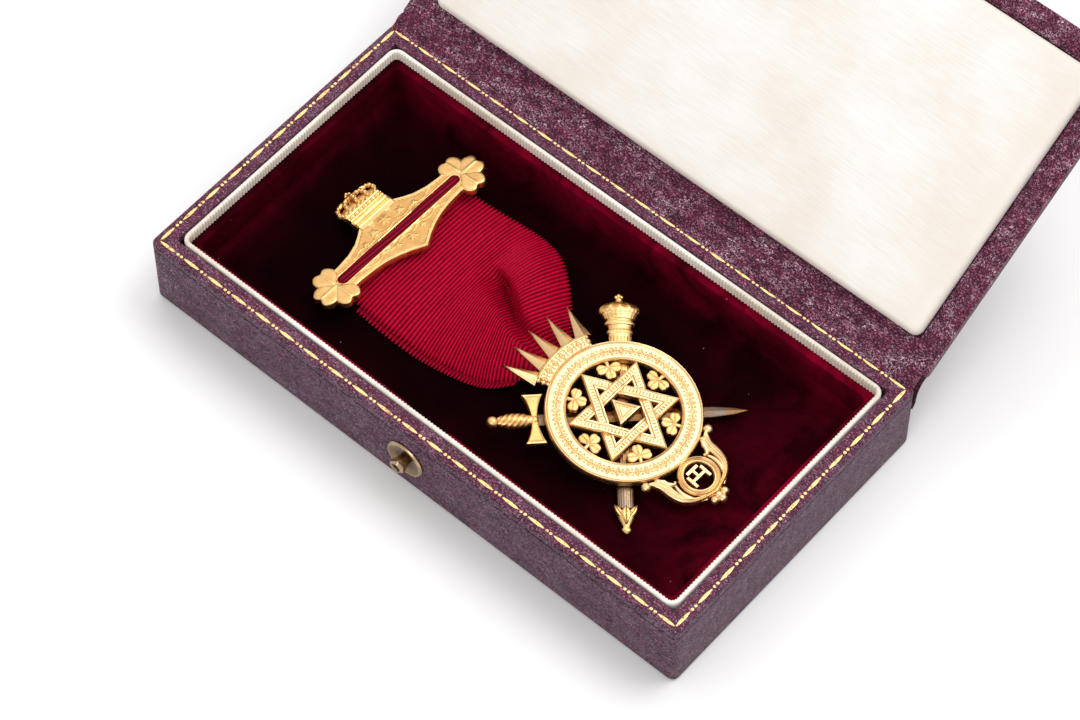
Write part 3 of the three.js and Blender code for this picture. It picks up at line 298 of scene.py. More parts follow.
def leather(name, deep, rubbed, glint, painted_glint, pebbles, mottle, stretch, depth, roughness):
    """Leather: a deep dye that turns redder where the tone falls below 1 as wear, nearly black in its pits
    as painted shade, with pale glints along its creases that are painted highlights and fade where the
    tone rises above 1.1."""
    made, tree, shader = material(name, {})
    place = add(tree, "ShaderNodeTexCoord")
    laid = add(tree, "ShaderNodeMapping", {"Vector": place.outputs["Object"], "Scale": stretch})
    grain = add(tree, "ShaderNodeGroup", node_tree=leather_grain)
    tree.links.new(laid.outputs[0], grain.inputs["Vector"])
    grain.inputs["Pebbles"].default_value = pebbles
    grain.inputs["Mottle"].default_value = mottle
    grain.inputs["PaintedGlint"].default_value = painted_glint
    wear_and_shade = add(tree, "ShaderNodeAttribute", attribute_name="tone")
    spots = add(tree, "ShaderNodeMapRange", {
        "Value": grain.outputs["Rubbed"], "From Min": 0.42, "From Max": 0.68, "To Max": 0.75,
    })
    edge = add(tree, "ShaderNodeMath", {0: 1.0, 1: wear_and_shade.outputs["Fac"]}, operation="SUBTRACT")
    rub = add(tree, "ShaderNodeMath", {0: spots.outputs[0], 1: edge.outputs[0]}, use_clamp=True)
    dyed = add(tree, "ShaderNodeMix", {"Factor": rub.outputs[0], 6: deep, 7: rubbed}, data_type="RGBA")
    # Painted highlight: the glint colour is laid over the dye along the creases, and a tone above 1.1 dims
    # it.
    painted_glint_fade = add(tree, "ShaderNodeMapRange", {
        "Value": wear_and_shade.outputs["Fac"], "From Min": 1.1, "From Max": 1.3, "To Min": 1.0, "To Max": 0.3,
    })
    caught = add(tree, "ShaderNodeMath", {
        0: grain.outputs["PaintedGlint"], 1: painted_glint_fade.outputs[0],
    }, operation="MULTIPLY")
    # Painted shade: the grain's pits are mixed towards near black.
    pits = add(tree, "ShaderNodeMapRange", {
        "Value": grain.outputs["Height"], "From Min": 0.6, "From Max": 1.2, "To Min": 0.3, "To Max": 1.0,
    })
    pit_painted_shade = add(tree, "ShaderNodeMix", {
        "Factor": pits.outputs[0], 6: (0.012, 0.003, 0.008, 1), 7: dyed.outputs[2],
    }, data_type="RGBA")
    sparkled = add(tree, "ShaderNodeMix", {
        "Factor": caught.outputs[0], 6: pit_painted_shade.outputs[2], 7: glint,
    }, data_type="RGBA")
    tree.links.new(sparkled.outputs[2], shader.inputs["Base Color"])
    shine = add(tree, "ShaderNodeMapRange", {
        "Value": grain.outputs["Height"], "From Min": 0.8, "From Max": 1.6, "To Min": 0.1, "To Max": 0.95,
    })
    tree.links.new(shine.outputs[0], shader.inputs["Specular IOR Level"])
    gloss = add(tree, "ShaderNodeMapRange", {
        "Value": grain.outputs["Rubbed"], "From Min": 0.3, "From Max": 0.7,
        "To Min": roughness - 0.06, "To Max": roughness + 0.08,
    })
    tree.links.new(gloss.outputs[0], shader.inputs["Roughness"])
    bump = add(tree, "ShaderNodeBump", {
        "Height": grain.outputs["Height"], "Strength": 0.9, "Distance": depth,
    })
    tree.links.new(bump.outputs[0], shader.inputs["Normal"])
    return made


# The third colour is the painted highlight of the glints.
case_leather = leather(
    "case_leather", (0.135, 0.060, 0.118, 1), (0.35, 0.075, 0.160, 1), (0.55, 0.42, 0.54, 1), 0.75,
    2300.0, 1100.0, (0.55, 1.0, 1.0), 0.0005, 0.42,
)
base_section = np.concatenate([
    arc((1.2, 1.2), 1.2, -90, 0, 6),
    [(0, 9), (0, 16.9), (0.04, 17.08), (0.3, 17.22), (0.3, 17.34), (0.0, 17.5)],
    arc((0.75, 18.85), 0.75, 0, 90, 7),
    [(RIM - 0.5, CASE_Z)],
    arc((RIM - 0.4, CASE_Z - 0.4), 0.4, 90, 180, 5),
    [(RIM, 5.8)],
])
# Tone 0.55 on the rim's top is rubbed wear. The blind line's rows at 1.7 are painted shade in its groove, and
# the foot's rows at 1.4 are darker at the bottom; both lose the rubbed red and most painted glints.
base_tone = np.ones(len(base_section))
base_tone[base_section[:, 1] > 19.4] = 0.55
base_tone[:4] = 1.4
base_tone[(base_section[:, 1] > 17) & (base_section[:, 1] < 17.4)] = 1.7
base_skin = skin(wall_rings(CASE_X, CASE_Y, 1.6, 0.3, base_section), tone=base_tone[:, None])
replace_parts(piece("leather_base", [base_skin], case_leather), "case_base")

# Rim tooling: a line of gilt dashes and dots pressed into the rim with a heated roll, mitred at the
# corners. The foil is thin, a little rubbed, and sits in a shallow groove.
TOOL_INSET = 1.55
TOOL_PITCH = 6.9
TOOL_END = 2.3
DOT_SHIFT = 0.5
foil, foil_tree, foil_shader = material("gold_foil", {"Metallic": 0.85, "Roughness": 0.32})
foil_place = add(foil_tree, "ShaderNodeTexCoord")
foil_noise = add(foil_tree, "ShaderNodeTexNoise", {
    "Vector": foil_place.outputs["Object"], "Scale": 1400.0, "Detail": 4.0,
})
foil_rub = add(foil_tree, "ShaderNodeMapRange", {
    "Value": foil_noise.outputs["Fac"], "From Min": 0.3, "From Max": 0.46,
})
foil_colour = add(foil_tree, "ShaderNodeMix", {
    "Factor": foil_rub.outputs[0], 6: (0.34, 0.13, 0.07, 1), 7: (0.95, 0.66, 0.26, 1),
}, data_type="RGBA")
foil_bump = add(foil_tree, "ShaderNodeBump", {
    "Height": foil_noise.outputs["Fac"], "Strength": 0.5, "Distance": 0.00004,
})
foil_tree.links.new(foil_colour.outputs[2], foil_shader.inputs["Base Color"])
foil_tree.links.new(foil_bump.outputs[0], foil_shader.inputs["Normal"])


def marks(shape, places, turns, height):
    """Thin pads with one outline: each outline is turned and put in place, and rises to a low middle."""
    cosine, sine = np.cos(turns)[:, None], np.sin(turns)[:, None]
    x = places[:, :1] + shape[:, 0] * cosine - shape[:, 1] * sine
    y = places[:, 1:] + shape[:, 0] * sine + shape[:, 1] * cosine
    count, corners = x.shape
    rim = np.stack([x, y, np.full_like(x, height)], -1)
    middle = np.column_stack([places, np.full(count, height + 0.05)])[:, None]
    points = np.concatenate([rim, middle], 1).reshape(-1, 3)
    first = (np.arange(count) * (corners + 1))[:, None]
    ring = np.arange(corners)
    triangles = np.stack([
        first + ring, first + np.roll(ring, -1), np.broadcast_to(first + corners, (count, corners)),
    ], -1).reshape(-1, 3)
    return points, np.zeros((0, 4), int), triangles, np.ones(len(points))


share = np.linspace(0, 2 * math.pi, 16, endpoint=False)
dash = np.stack([2.15 * np.cos(share), 0.36 * np.sin(share) * np.abs(np.sin(share)) ** 0.35], -1)
dot = np.stack([0.36 * np.cos(share[::2]), 0.34 * np.sin(share[::2])], -1)
line_x, line_y = CASE_X - TOOL_INSET, CASE_Y - TOOL_INSET
foil_skins = []
for half, across, turn in (
    (line_x, -line_y, 0), (line_x, line_y, math.pi),
    (line_y, -line_x, math.pi / 2), (line_y, line_x, -math.pi / 2),
):
    gaps = round((2 * half - 2 * TOOL_END) / TOOL_PITCH)
    step = (2 * half - 2 * TOOL_END) / gaps
    for shape, offset, count in (
        (dash, 0, gaps + 1), (dot, step / 2 - DOT_SHIFT, gaps), (dot, step / 2 + DOT_SHIFT, gaps),
    ):
        along = np.stack([-half + TOOL_END + np.arange(count) * step + offset, np.zeros(count)], -1)
        flip = 1 if turn in (0, math.pi / 2) else -1
        spot = along * flip if turn in (0, math.pi) else along[:, ::-1] * flip
        axis = 1 if turn in (0, math.pi) else 0
        spot[:, axis] = across
        foil_skins.append(marks(shape, spot, np.full(count, turn), CASE_Z))
piece("rim_tooling", foil_skins, foil)

# Silk lip: a cream ribbed silk strip turned over a card edge, standing just proud of the rim.
# Its ribs run up and down and show on the side towards the tray.
LIP_X, LIP_Y = 66.85, 33.5
LIP_CORNER = 2.4
RIB_STEPS = 6
RIB_PITCH = 0.8


def silk_material(name, pale, shaded, thread_scale, thread_stretch):
    """Silk: pale cloth, a shade darker between its threads, with a soft sheen; the piece's tone darkens it
    further as painted shade.
    """
    made, tree, shader = material(name, {
        "Roughness": 0.55, "Sheen Weight": 0.25, "Sheen Roughness": 0.4, "Specular IOR Level": 0.35,
    })
    place = add(tree, "ShaderNodeTexCoord")
    laid = add(tree, "ShaderNodeMapping", {"Vector": place.outputs["Object"], "Scale": thread_stretch})
    threads = add(tree, "ShaderNodeTexNoise", {
        "Vector": laid.outputs[0], "Scale": thread_scale, "Detail": 3.0,
    })
    soil = add(tree, "ShaderNodeTexNoise", {"Vector": place.outputs["Object"], "Scale": 45.0, "Detail": 6.0})
    mixed = add(tree, "ShaderNodeMath", {
        0: threads.outputs["Fac"], 1: 0.6, 2: soil.outputs["Fac"],
    }, operation="MULTIPLY_ADD")
    # The tone attribute is painted shade.
    depth = add(tree, "ShaderNodeAttribute", attribute_name="tone")
    shade = add(tree, "ShaderNodeMapRange", {"Value": mixed.outputs[0], "From Min": 0.55, "From Max": 1.05})
    joined = add(tree, "ShaderNodeMath", {0: shade.outputs[0], 1: depth.outputs["Fac"]}, operation="MULTIPLY")
    colour = add(tree, "ShaderNodeMix", {"Factor": joined.outputs[0], 6: shaded, 7: pale}, data_type="RGBA")
    bump = add(tree, "ShaderNodeBump", {
        "Height": threads.outputs["Fac"], "Strength": 0.35, "Distance": 0.00006,
    })
    tree.links.new(colour.outputs[2], shader.inputs["Base Color"])
    tree.links.new(bump.outputs[0], shader.inputs["Normal"])
    return made


lip_silk = silk_material(
    "lip_silk", (0.93, 0.90, 0.84, 1), (0.66, 0.57, 0.46, 1), 1600.0, (1, 1, 1)
)
lip_section = np.concatenate([
    [(0, 17.0), (0, 19.3)],
    arc((0.5, 19.3), 0.5, 30, 150, 6),
    [(1.0, 19.2), (1.02, 18.7), (1.0, 18), (0.98, 17.0)],
])
lip_ribs = np.array([0, 0, 0, 0.05, 0.2, 0.3, 0.5, 0.8, 1, 1, 1, 1])
long_steps = round(2 * (LIP_X - LIP_CORNER) / RIB_PITCH) * RIB_STEPS
short_steps = round(2 * (LIP_Y - LIP_CORNER) / RIB_PITCH) * RIB_STEPS
lip_grid = wall_rings(
    LIP_X, LIP_Y, LIP_CORNER, 1.2, lip_section, long_steps, short_steps, 4 * RIB_STEPS
)
rib = np.abs(np.cos(np.arange(lip_grid.shape[1]) / RIB_STEPS * math.pi))
lip_pull = lip_ribs[:, None] * (rib - 0.5) * 0.28
lip_out = lip_grid[:, :, :2] / np.array([LIP_X, LIP_Y])
at_ends = np.abs(lip_out[:, :, :1]) > np.abs(lip_out[:, :, 1:])
inward = np.where(at_ends, [1.0, 0.0], [0.0, 1.0]) * -np.sign(lip_out)
lip_grid[:, :, :2] += inward * lip_pull[:, :, None]
# Painted shade: the tone darkens the valleys between the ribs on the side towards the tray.
lip_skin = skin(lip_grid, along=True, tone=1 - lip_ribs[:, None] * (1 - rib) * 0.55)
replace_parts(piece("ribbed_lip", [lip_skin], lip_silk), "case_lip")

# Velvet tray: crimson silk velvet pasted round a card tray. Its pile is almost black looked into, and the
# bright crimson where the walls catch it at a glance is painted sheen: strongest under the lip, fading down
# the walls to the floor, spread along the right end and faint at the left. A few specks of lint lie on it.
velvet, velvet_tree, velvet_shader = material("crimson_velvet", {
    "Roughness": 0.9, "Specular IOR Level": 0.02, "Sheen Weight": 0.2, "Sheen Roughness": 0.22,
    "Sheen Tint": (0.75, 0.004, 0.045, 1),
})
velvet_place = add(velvet_tree, "ShaderNodeTexCoord")
nap = add(velvet_tree, "ShaderNodeTexNoise", {
    "Vector": velvet_place.outputs["Object"], "Scale": 70.0, "Detail": 7.0,
    "Roughness": 0.65, "Distortion": 0.6,
})
pile = add(velvet_tree, "ShaderNodeTexNoise", {
    "Vector": velvet_place.outputs["Object"], "Scale": 2600.0, "Detail": 2.0,
})
painted_sheen_share = add(velvet_tree, "ShaderNodeAttribute", attribute_name="tone")
brushed = add(velvet_tree, "ShaderNodeMapRange", {
    "Value": nap.outputs["Fac"], "From Min": 0.38, "From Max": 0.66, "To Min": 0.15, "To Max": 1.0,
})
painted_sheen_level = add(velvet_tree, "ShaderNodeMath", {
    0: brushed.outputs[0], 1: painted_sheen_share.outputs["Fac"],
}, operation="MULTIPLY")
# The tone lays on the bright crimson as painted sheen over the near-black pile.
velvet_colour = add(velvet_tree, "ShaderNodeMix", {
    "Factor": painted_sheen_level.outputs[0], 6: (0.004, 0.0001, 0.0006, 1), 7: (0.26, 0.001, 0.022, 1),
}, data_type="RGBA")
lint = add(velvet_tree, "ShaderNodeTexVoronoi", {"Vector": velvet_place.outputs["Object"], "Scale": 200.0})
lint_spots = add(velvet_tree, "ShaderNodeMapRange", {
    "Value": lint.outputs["Distance"], "From Min": 0.015, "From Max": 0.03, "To Min": 0.5, "To Max": 0.0,
})
velvet_linted = add(velvet_tree, "ShaderNodeMix", {
    "Factor": lint_spots.outputs[0], 6: velvet_colour.outputs[2], 7: (0.55, 0.42, 0.42, 1),
}, data_type="RGBA")
velvet_height = add(velvet_tree, "ShaderNodeMath", {
    0: nap.outputs["Fac"], 1: 2.5, 2: pile.outputs["Fac"],
}, operation="MULTIPLY_ADD")
velvet_bump = add(velvet_tree, "ShaderNodeBump", {
    "Height": velvet_height.outputs[0], "Strength": 0.6, "Distance": 0.0005,
})
velvet_tree.links.new(velvet_linted.outputs[2], velvet_shader.inputs["Base Color"])
velvet_tree.links.new(velvet_bump.outputs[0], velvet_shader.inputs["Normal"])
tray_section = np.array([
    (0.1, 5.9), (0, 16.75), (0.5, 17.1), (1.4, 17.25), (2.2, 17.15), (2.7, 16.7), (2.7, 15.6), (2.2, 12),
    (1.9, 9.0), (1.9, 7.6), (2.2, 6.8), (2.8, 6.3), (3.6, 6.1), (6, 6.1), (12, 6.1), (20, 6.1),
])
# Painted sheen down the wall's rows: bright under the lip, none on the floor.
painted_wall_sheen = np.array([0, 0.8, 0.9, 1, 1, 1, 0.8, 0.6, 0.5, 0.4, 0.3, 0.22, 0.14, 0.06, 0.01, 0.0])[:, None]
tray_rings = wall_rings(LIP_X, LIP_Y, LIP_CORNER, 1.4, tray_section, 60, 30, 10)
# The front shoulder is cut away where the lid's tongue comes down.
NOTCH_HALF, NOTCH_Z = 6, 15.6
in_front = (np.abs(tray_rings[:, :, 0]) < NOTCH_HALF) & (tray_rings[:, :, 1] < 0)
tray_rings[in_front & (tray_rings[:, :, 2] > NOTCH_Z), 2] = NOTCH_Z
# Painted sheen: it spreads at the right end and is dimmed at the left.
end_glow = np.exp(-(LIP_X - np.abs(tray_rings[:, :, 0])) / np.where(tray_rings[:, :, 0] > 0, 12.0, 1.5))
left_shade = np.clip((tray_rings[:, :, 0] + LIP_X) / 9, 0.12, 1)
tray_tone = np.clip(painted_wall_sheen * left_shade + 0.7 * end_glow * (painted_wall_sheen < 0.5), 0, 1)
tray_skin = skin(tray_rings, tone=tray_tone)
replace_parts(piece("velvet_tray", [tray_skin], velvet), "velvet_lining")

# Catch button: a dished brass rose let into the front wall, and the hollow button that stands in it.
# Both are turned, and the button's head has four soft lobes.
BUTTON_Z = 9.8


def framed(origin, x_axis, y_axis, z_axis):
    """A 4 x 4 place whose columns are the three axes and the origin."""
    made = np.eye(4)
    made[:3, :4] = np.column_stack([x_axis, y_axis, z_axis, origin])
    return made


def turned(profile, sides, flatness=1.0, radius_share=None, tone=None):
    """A turned shape about the x axis: rows are (place along it, radius), columns go round it. The
    radius may be multiplied by a share for each row and side, and the depth by a flatness."""
    profile = np.asarray(profile, float)
    angle = np.linspace(0, 2 * math.pi, sides, endpoint=False)
    radius = profile[:, 1:] * (np.ones((1, sides)) if radius_share is None else radius_share)
    grid = np.stack([
        profile[:, :1] + np.zeros((1, sides)), radius * np.cos(angle), radius * np.sin(angle) * flatness,
    ], -1)
    return skin(grid, tone=tone)


def metal_bloom_group():
    """Handled metal: slow stains and a fine grit, as two masks."""
    tree, given, result = shader_group(
        "metal_bloom",
        [("Vector", "NodeSocketVector", (0, 0, 0)), ("Speckle", "NodeSocketFloat", 2500.0)],
        [("Stain", "NodeSocketFloat"), ("Grit", "NodeSocketFloat")],
    )
    stain = add(tree, "ShaderNodeTexNoise", {
        "Vector": given.outputs["Vector"], "Scale": 260.0, "Detail": 5.0, "Roughness": 0.6,
    })
    grit = add(tree, "ShaderNodeTexNoise", {
        "Vector": given.outputs["Vector"], "Scale": given.outputs["Speckle"], "Detail": 3.0,
    })
    tree.links.new(stain.outputs["Fac"], result.inputs["Stain"])
    tree.links.new(grit.outputs["Fac"], result.inputs["Grit"])
    return tree


metal_bloom = metal_bloom_group()


def metal(name, bright, deep, roughness, grit_depth, contrast=1.0, speckle=2500.0):
    """Metal: bright on what stands up and deep in the recesses that the piece's tone marks, mostly painted
    shade and highlight, with stains; on the silver the tone also marks its brown tarnish.
    """
    made, tree, shader = material(name, {"Metallic": 1.0})
    place = add(tree, "ShaderNodeTexCoord")
    bloom = add(tree, "ShaderNodeGroup", node_tree=metal_bloom)
    tree.links.new(place.outputs["Object"], bloom.inputs["Vector"])
    bloom.inputs["Speckle"].default_value = speckle
    # The tone is painted shade in the hollows and painted highlight on ridges, and on the silver also its
    # tarnish.
    relief = add(tree, "ShaderNodeAttribute", attribute_name="tone")
    stained = add(tree, "ShaderNodeMapRange", {
        "Value": bloom.outputs["Stain"], "From Min": 0.3, "From Max": 0.7, "To Min": -0.25, "To Max": 0.15,
    })
    level = add(tree, "ShaderNodeMath", {
        0: relief.outputs["Fac"], 1: contrast, 2: stained.outputs[0],
    }, operation="MULTIPLY_ADD", use_clamp=True)
    colour = add(tree, "ShaderNodeMix", {"Factor": level.outputs[0], 6: deep, 7: bright}, data_type="RGBA")
    gloss = add(tree, "ShaderNodeMapRange", {
        "Value": bloom.outputs["Grit"], "From Min": 0.3, "From Max": 0.7,
        "To Min": roughness - 0.05, "To Max": roughness + 0.08,
    })
    bump = add(tree, "ShaderNodeBump", {
        "Height": bloom.outputs["Grit"], "Strength": 0.6, "Distance": grit_depth,
    })
    tree.links.new(colour.outputs[2], shader.inputs["Base Color"])
    tree.links.new(gloss.outputs[0], shader.inputs["Roughness"])
    tree.links.new(bump.outputs[0], shader.inputs["Normal"])
    return made


brass = metal("button_brass", (0.50, 0.36, 0.22, 1), (0.09, 0.045, 0.02, 1), 0.24, 0.00006, 1.0, 1500.0)
button_low, button_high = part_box("push_button")
button_x = (button_low[0] + button_high[0]) / 2 / MM
button_place = framed((button_x, -CASE_Y, BUTTON_Z), (0, -1, 0), (1, 0, 0), (0, 0, 1))
# Painted shade: the rose darkens into its dish, and the stem at its foot and in its hollow.
rose = turned([
    (-0.5, 4.3), (0.0, 4.68), (0.3, 4.7), (0.6, 4.5), (0.7, 4.2), (0.6, 3.8), (0.35, 3.2), (0.2, 2.6),
    (0.12, 2.1), (0.1, 1.2),
], 48, tone=np.array([0.5, 0.8, 1, 1, 0.9, 0.5, 0.45, 0.35, 0.15, 0])[:, None])
stem_angle = np.linspace(0, 2 * math.pi, 32, endpoint=False)
stem_swell = np.array([0, 0, 0.02, 0.05, 0.09, 0.1, 0.1, 0.06, 0.0, 0.0])[:, None]
stem_lobes = 1 + stem_swell * np.cos(4 * stem_angle)
stem = turned([
    (-1.4, 1.3), (0.2, 1.3), (0.8, 1.35), (1.3, 1.6), (2.2, 1.75), (2.8, 1.7), (3.15, 1.4), (3.1, 1.05),
    (2.5, 0.8), (1.2, 0.7),
], 32, radius_share=stem_lobes, tone=np.array([0, 0.2, 0.5, 0.7, 1, 1, 1, 0.7, 0.1, 0])[:, None])
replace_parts(piece("button_rose", [rose], brass, place=button_place), "button_cup")
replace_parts(piece("button_stem", [stem], brass, place=button_place), "push_button")

# Lid: a bevelled board covered in the same goatskin, seen from its lined side. The turned-in leather
# round the pad is coarser and crushed, and its small pale flecks are painted highlights.
HINGE = (0.0, 39.2, 20.0)
LID_TURN = math.radians(-148.8)
LID_INNER = -0.1


def rotation(axis, angle):
    """A 4 x 4 turn about the x, y or z axis."""
    made = np.eye(4)
    made[:3, :3] = np.array(Matrix.Rotation(angle, 3, axis))
    return made


def moved(x, y, z):
    """A 4 x 4 shift."""
    made = np.eye(4)
    made[:3, 3] = (x, y, z)
    return made


lid_place = moved(*HINGE) @ rotation("X", LID_TURN) @ moved(0, -HINGE[1], 0)
# The third colour is the painted highlight of the glints.
lid_leather = leather(
    "lid_leather", (0.14, 0.030, 0.072, 1), (0.46, 0.070, 0.18, 1), (1.0, 0.76, 0.88, 1), 1.0,
    1700.0, 700.0, (1.0, 1.0, 1.0), 0.0004, 0.36,
)
lid_section = np.concatenate([
    [(5.5, 0.8), (5.45, LID_INNER + 0.1), (5.2, LID_INNER)],
    arc((0.35, LID_INNER + 0.35), 0.35, -90, 0, 5),
    [(0, 1.7)], arc((0.5, 1.8), 0.5, 0, 45, 4), [(2.4, 3.8), (4.3, 5.6)], arc((4.8, 5.2), 0.7, 50, 90, 4),
])
# Tone 0.9 round the frame's edge is rubbed wear. Tone 1.35 on the side and outside takes the rubbed red away
# and dims the painted glints: painted shade on the lid's outer side.
lid_tone = np.ones(len(lid_section))
lid_tone[3:8] = 0.9
lid_tone[8:] = 1.35
lid_skin = skin(wall_rings(CASE_X, CASE_Y, 1.0, 0.25, lid_section), tone=lid_tone[:, None])
covered_lid = piece("leather_lid", [lid_skin], lid_leather, body="lid", place=lid_place)
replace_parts(covered_lid, "lid_board")

# Lid pad: a card wrapped over wadding in ivory satin, raised above the lid's frame with soft edges.
# The satin is fine and bears no mark; it is painted darker on its soft edges and in a band near each end, as
# painted shade.
PAD_X, PAD_Y = 65.45, 32.1
satin = silk_material("ivory_satin", (0.835, 0.83, 0.82, 1), (0.74, 0.67, 0.59, 1), 700.0, (0.25, 6, 6))
pad_turn = np.linspace(0, math.pi / 2, 9)[1:]
pad_section = np.concatenate([
    [(0.4, 0.7), (0.0, -0.1), (0.0, -0.9)],
    np.stack([1.3 * (1 - np.cos(pad_turn)), -0.9 - 1.7 * np.sin(pad_turn)], -1),
    [(3.5, -2.62), (8, -2.66), (16, -2.7), (26, -2.72)],
])
pad_grid = wall_rings(PAD_X, PAD_Y, 2.0, 1.0, pad_section, 90, 50, 12)
wave_x, wave_y = pad_grid[:, :, 0], pad_grid[:, :, 1]
pucker = np.sin(wave_x * 0.31 + 1) * np.sin(wave_y * 0.23) + 0.6 * np.sin(wave_x * 0.11 - wave_y * 0.19)
pad_grid[:, :, 2] -= 0.05 * pucker * np.clip((pad_section[:, 0] - 1) / 4, 0, 1)[:, None]
# Painted shade: the satin darkens on its sides and rounded edges, and in a band near each end.
pad_tone = np.interp(pad_section[:, 0], [0, 1.0, 1.4, 4, 9], [0.3, 0.5, 0.75, 0.9, 1.0])[:, None]
pad_tone = pad_tone * (1 - 0.4 * np.exp(-(((np.abs(wave_x) - 61.5) / 2.2) ** 2)))
pad_skin = skin(pad_grid, tone=pad_tone)
pad = piece("satin_pad", [pad_skin], satin, body="lid", place=lid_place, sharp=80)
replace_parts(pad, "lid_pad")

# Hinge leather: one strip of the covering runs from the rim over the hinge into the lid, and a second
# one closes the back. Both are drawn in the open lid's shape, and the metal hinge lies between them.
HINGE_X = 70.8
STRIP_ROWS, STRIP_COLUMNS = 36, 60
# The third colour is the painted highlight of the glints.
strip_leather = leather(
    "hinge_leather", (0.14, 0.030, 0.072, 1), (0.46, 0.070, 0.18, 1), (1.0, 0.76, 0.88, 1), 0.9,
    1700.0, 700.0, (0.7, 1.1, 1.1), 0.0004, 0.38,
)
inner_line = np.array([
    (36.5, 19.62), (36.9, 19.72), (37.3, 19.98), (37.9, 20.25), (38.5, 20.95), (39.1, 21.3), (39.7, 21.28),
    (40.4, 21.0), (41.2, 21.42), (42.2, 22.02), (43.4, 22.75), (45.4, 23.96),
])
outer_line = np.array([
    (37.95, 11.2), (38.45, 11.8), (38.85, 12.8), (38.95, 14.4), (39.3, 16.0), (39.95, 17.4), (40.9, 18.5),
    (42.2, 18.9), (43.4, 19.2),
])
hinge_strips = []
# The outer strip's tone 1.3 makes it darker and dims its painted glints.
for line, facing, wear_and_shade in ((inner_line, (0, 0, 1), 1.0), (outer_line, (0, 1, -0.2), 1.3)):
    path = np.stack([
        np.interp(np.linspace(0, len(line) - 1, STRIP_ROWS), np.arange(len(line)), line[:, axis])
        for axis in (0, 1)
    ], -1)
    across = np.linspace(-HINGE_X, HINGE_X, STRIP_COLUMNS)
    grid = np.stack([
        np.broadcast_to(across, (STRIP_ROWS, STRIP_COLUMNS)),
        np.broadcast_to(path[:, :1], (STRIP_ROWS, STRIP_COLUMNS)),
        path[:, 1:] + 0.03 * np.sin(across * 1.7 + path[:, :1] * 3),
    ], -1)
    hinge_strips.append(skin(grid, around=False, facing=facing, tone=wear_and_shade))
for strip_name, strip in zip(("hinge_leather_inside", "hinge_leather_outside"), hinge_strips):
    made = piece(strip_name, [strip], strip_leather, body=None, sharp=80)
    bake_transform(made)
for node_name in ("hinge_base", "hinge_lid", "hinge_pin", "lid_catch"):
    metal_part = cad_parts[node_name]
    metal_part.data.materials.clear()
    metal_part.data.materials.append(brass)

# Ribbon: ribbed crimson silk, 38 mm wide, folded over in the bar's slot and gathered at the pendant.
# It is laid by hand: flat beside the bar, then dimpled above its middle with a fold running down to the
# crown. The ribs are the cloth's cords, so they run across it and fan where it is gathered.
BAR_TURN = math.radians(-1), math.radians(-8)
bar_place = moved(-38, 2.4, 10.9) @ rotation("Z", BAR_TURN[0]) @ rotation("Y", BAR_TURN[1])
pendant_place = moved(27, -1.3, 11.4) @ rotation("Z", math.radians(-1.8)) @ rotation("Y", math.radians(6.7))
RIBS = 58
RIB_SAMPLES = 7
RIBBON_COLUMNS = 150
RIB_HEIGHT, SCALLOP = 0.38, 1.3


def smooth_rows(table, count):
    """Rows between the rows of a table by Catmull and Rom's cubic, which passes through each of them."""
    table = np.asarray(table, float)
    padded = np.concatenate([[2 * table[0] - table[1]], table, [2 * table[-1] - table[-2]]])
    at = np.linspace(0, len(table) - 1, count)
    k = np.minimum(at.astype(int), len(table) - 2)
    t = (at - k).reshape((-1,) + (1,) * (table.ndim - 1))
    p0, p1, p2, p3 = (padded[k + i] for i in range(4))
    return p1 + 0.5 * t * (p2 - p0 + t * (2 * p0 - 5 * p1 + 4 * p2 - p3 + t * (3 * (p1 - p2) + p3 - p0)))


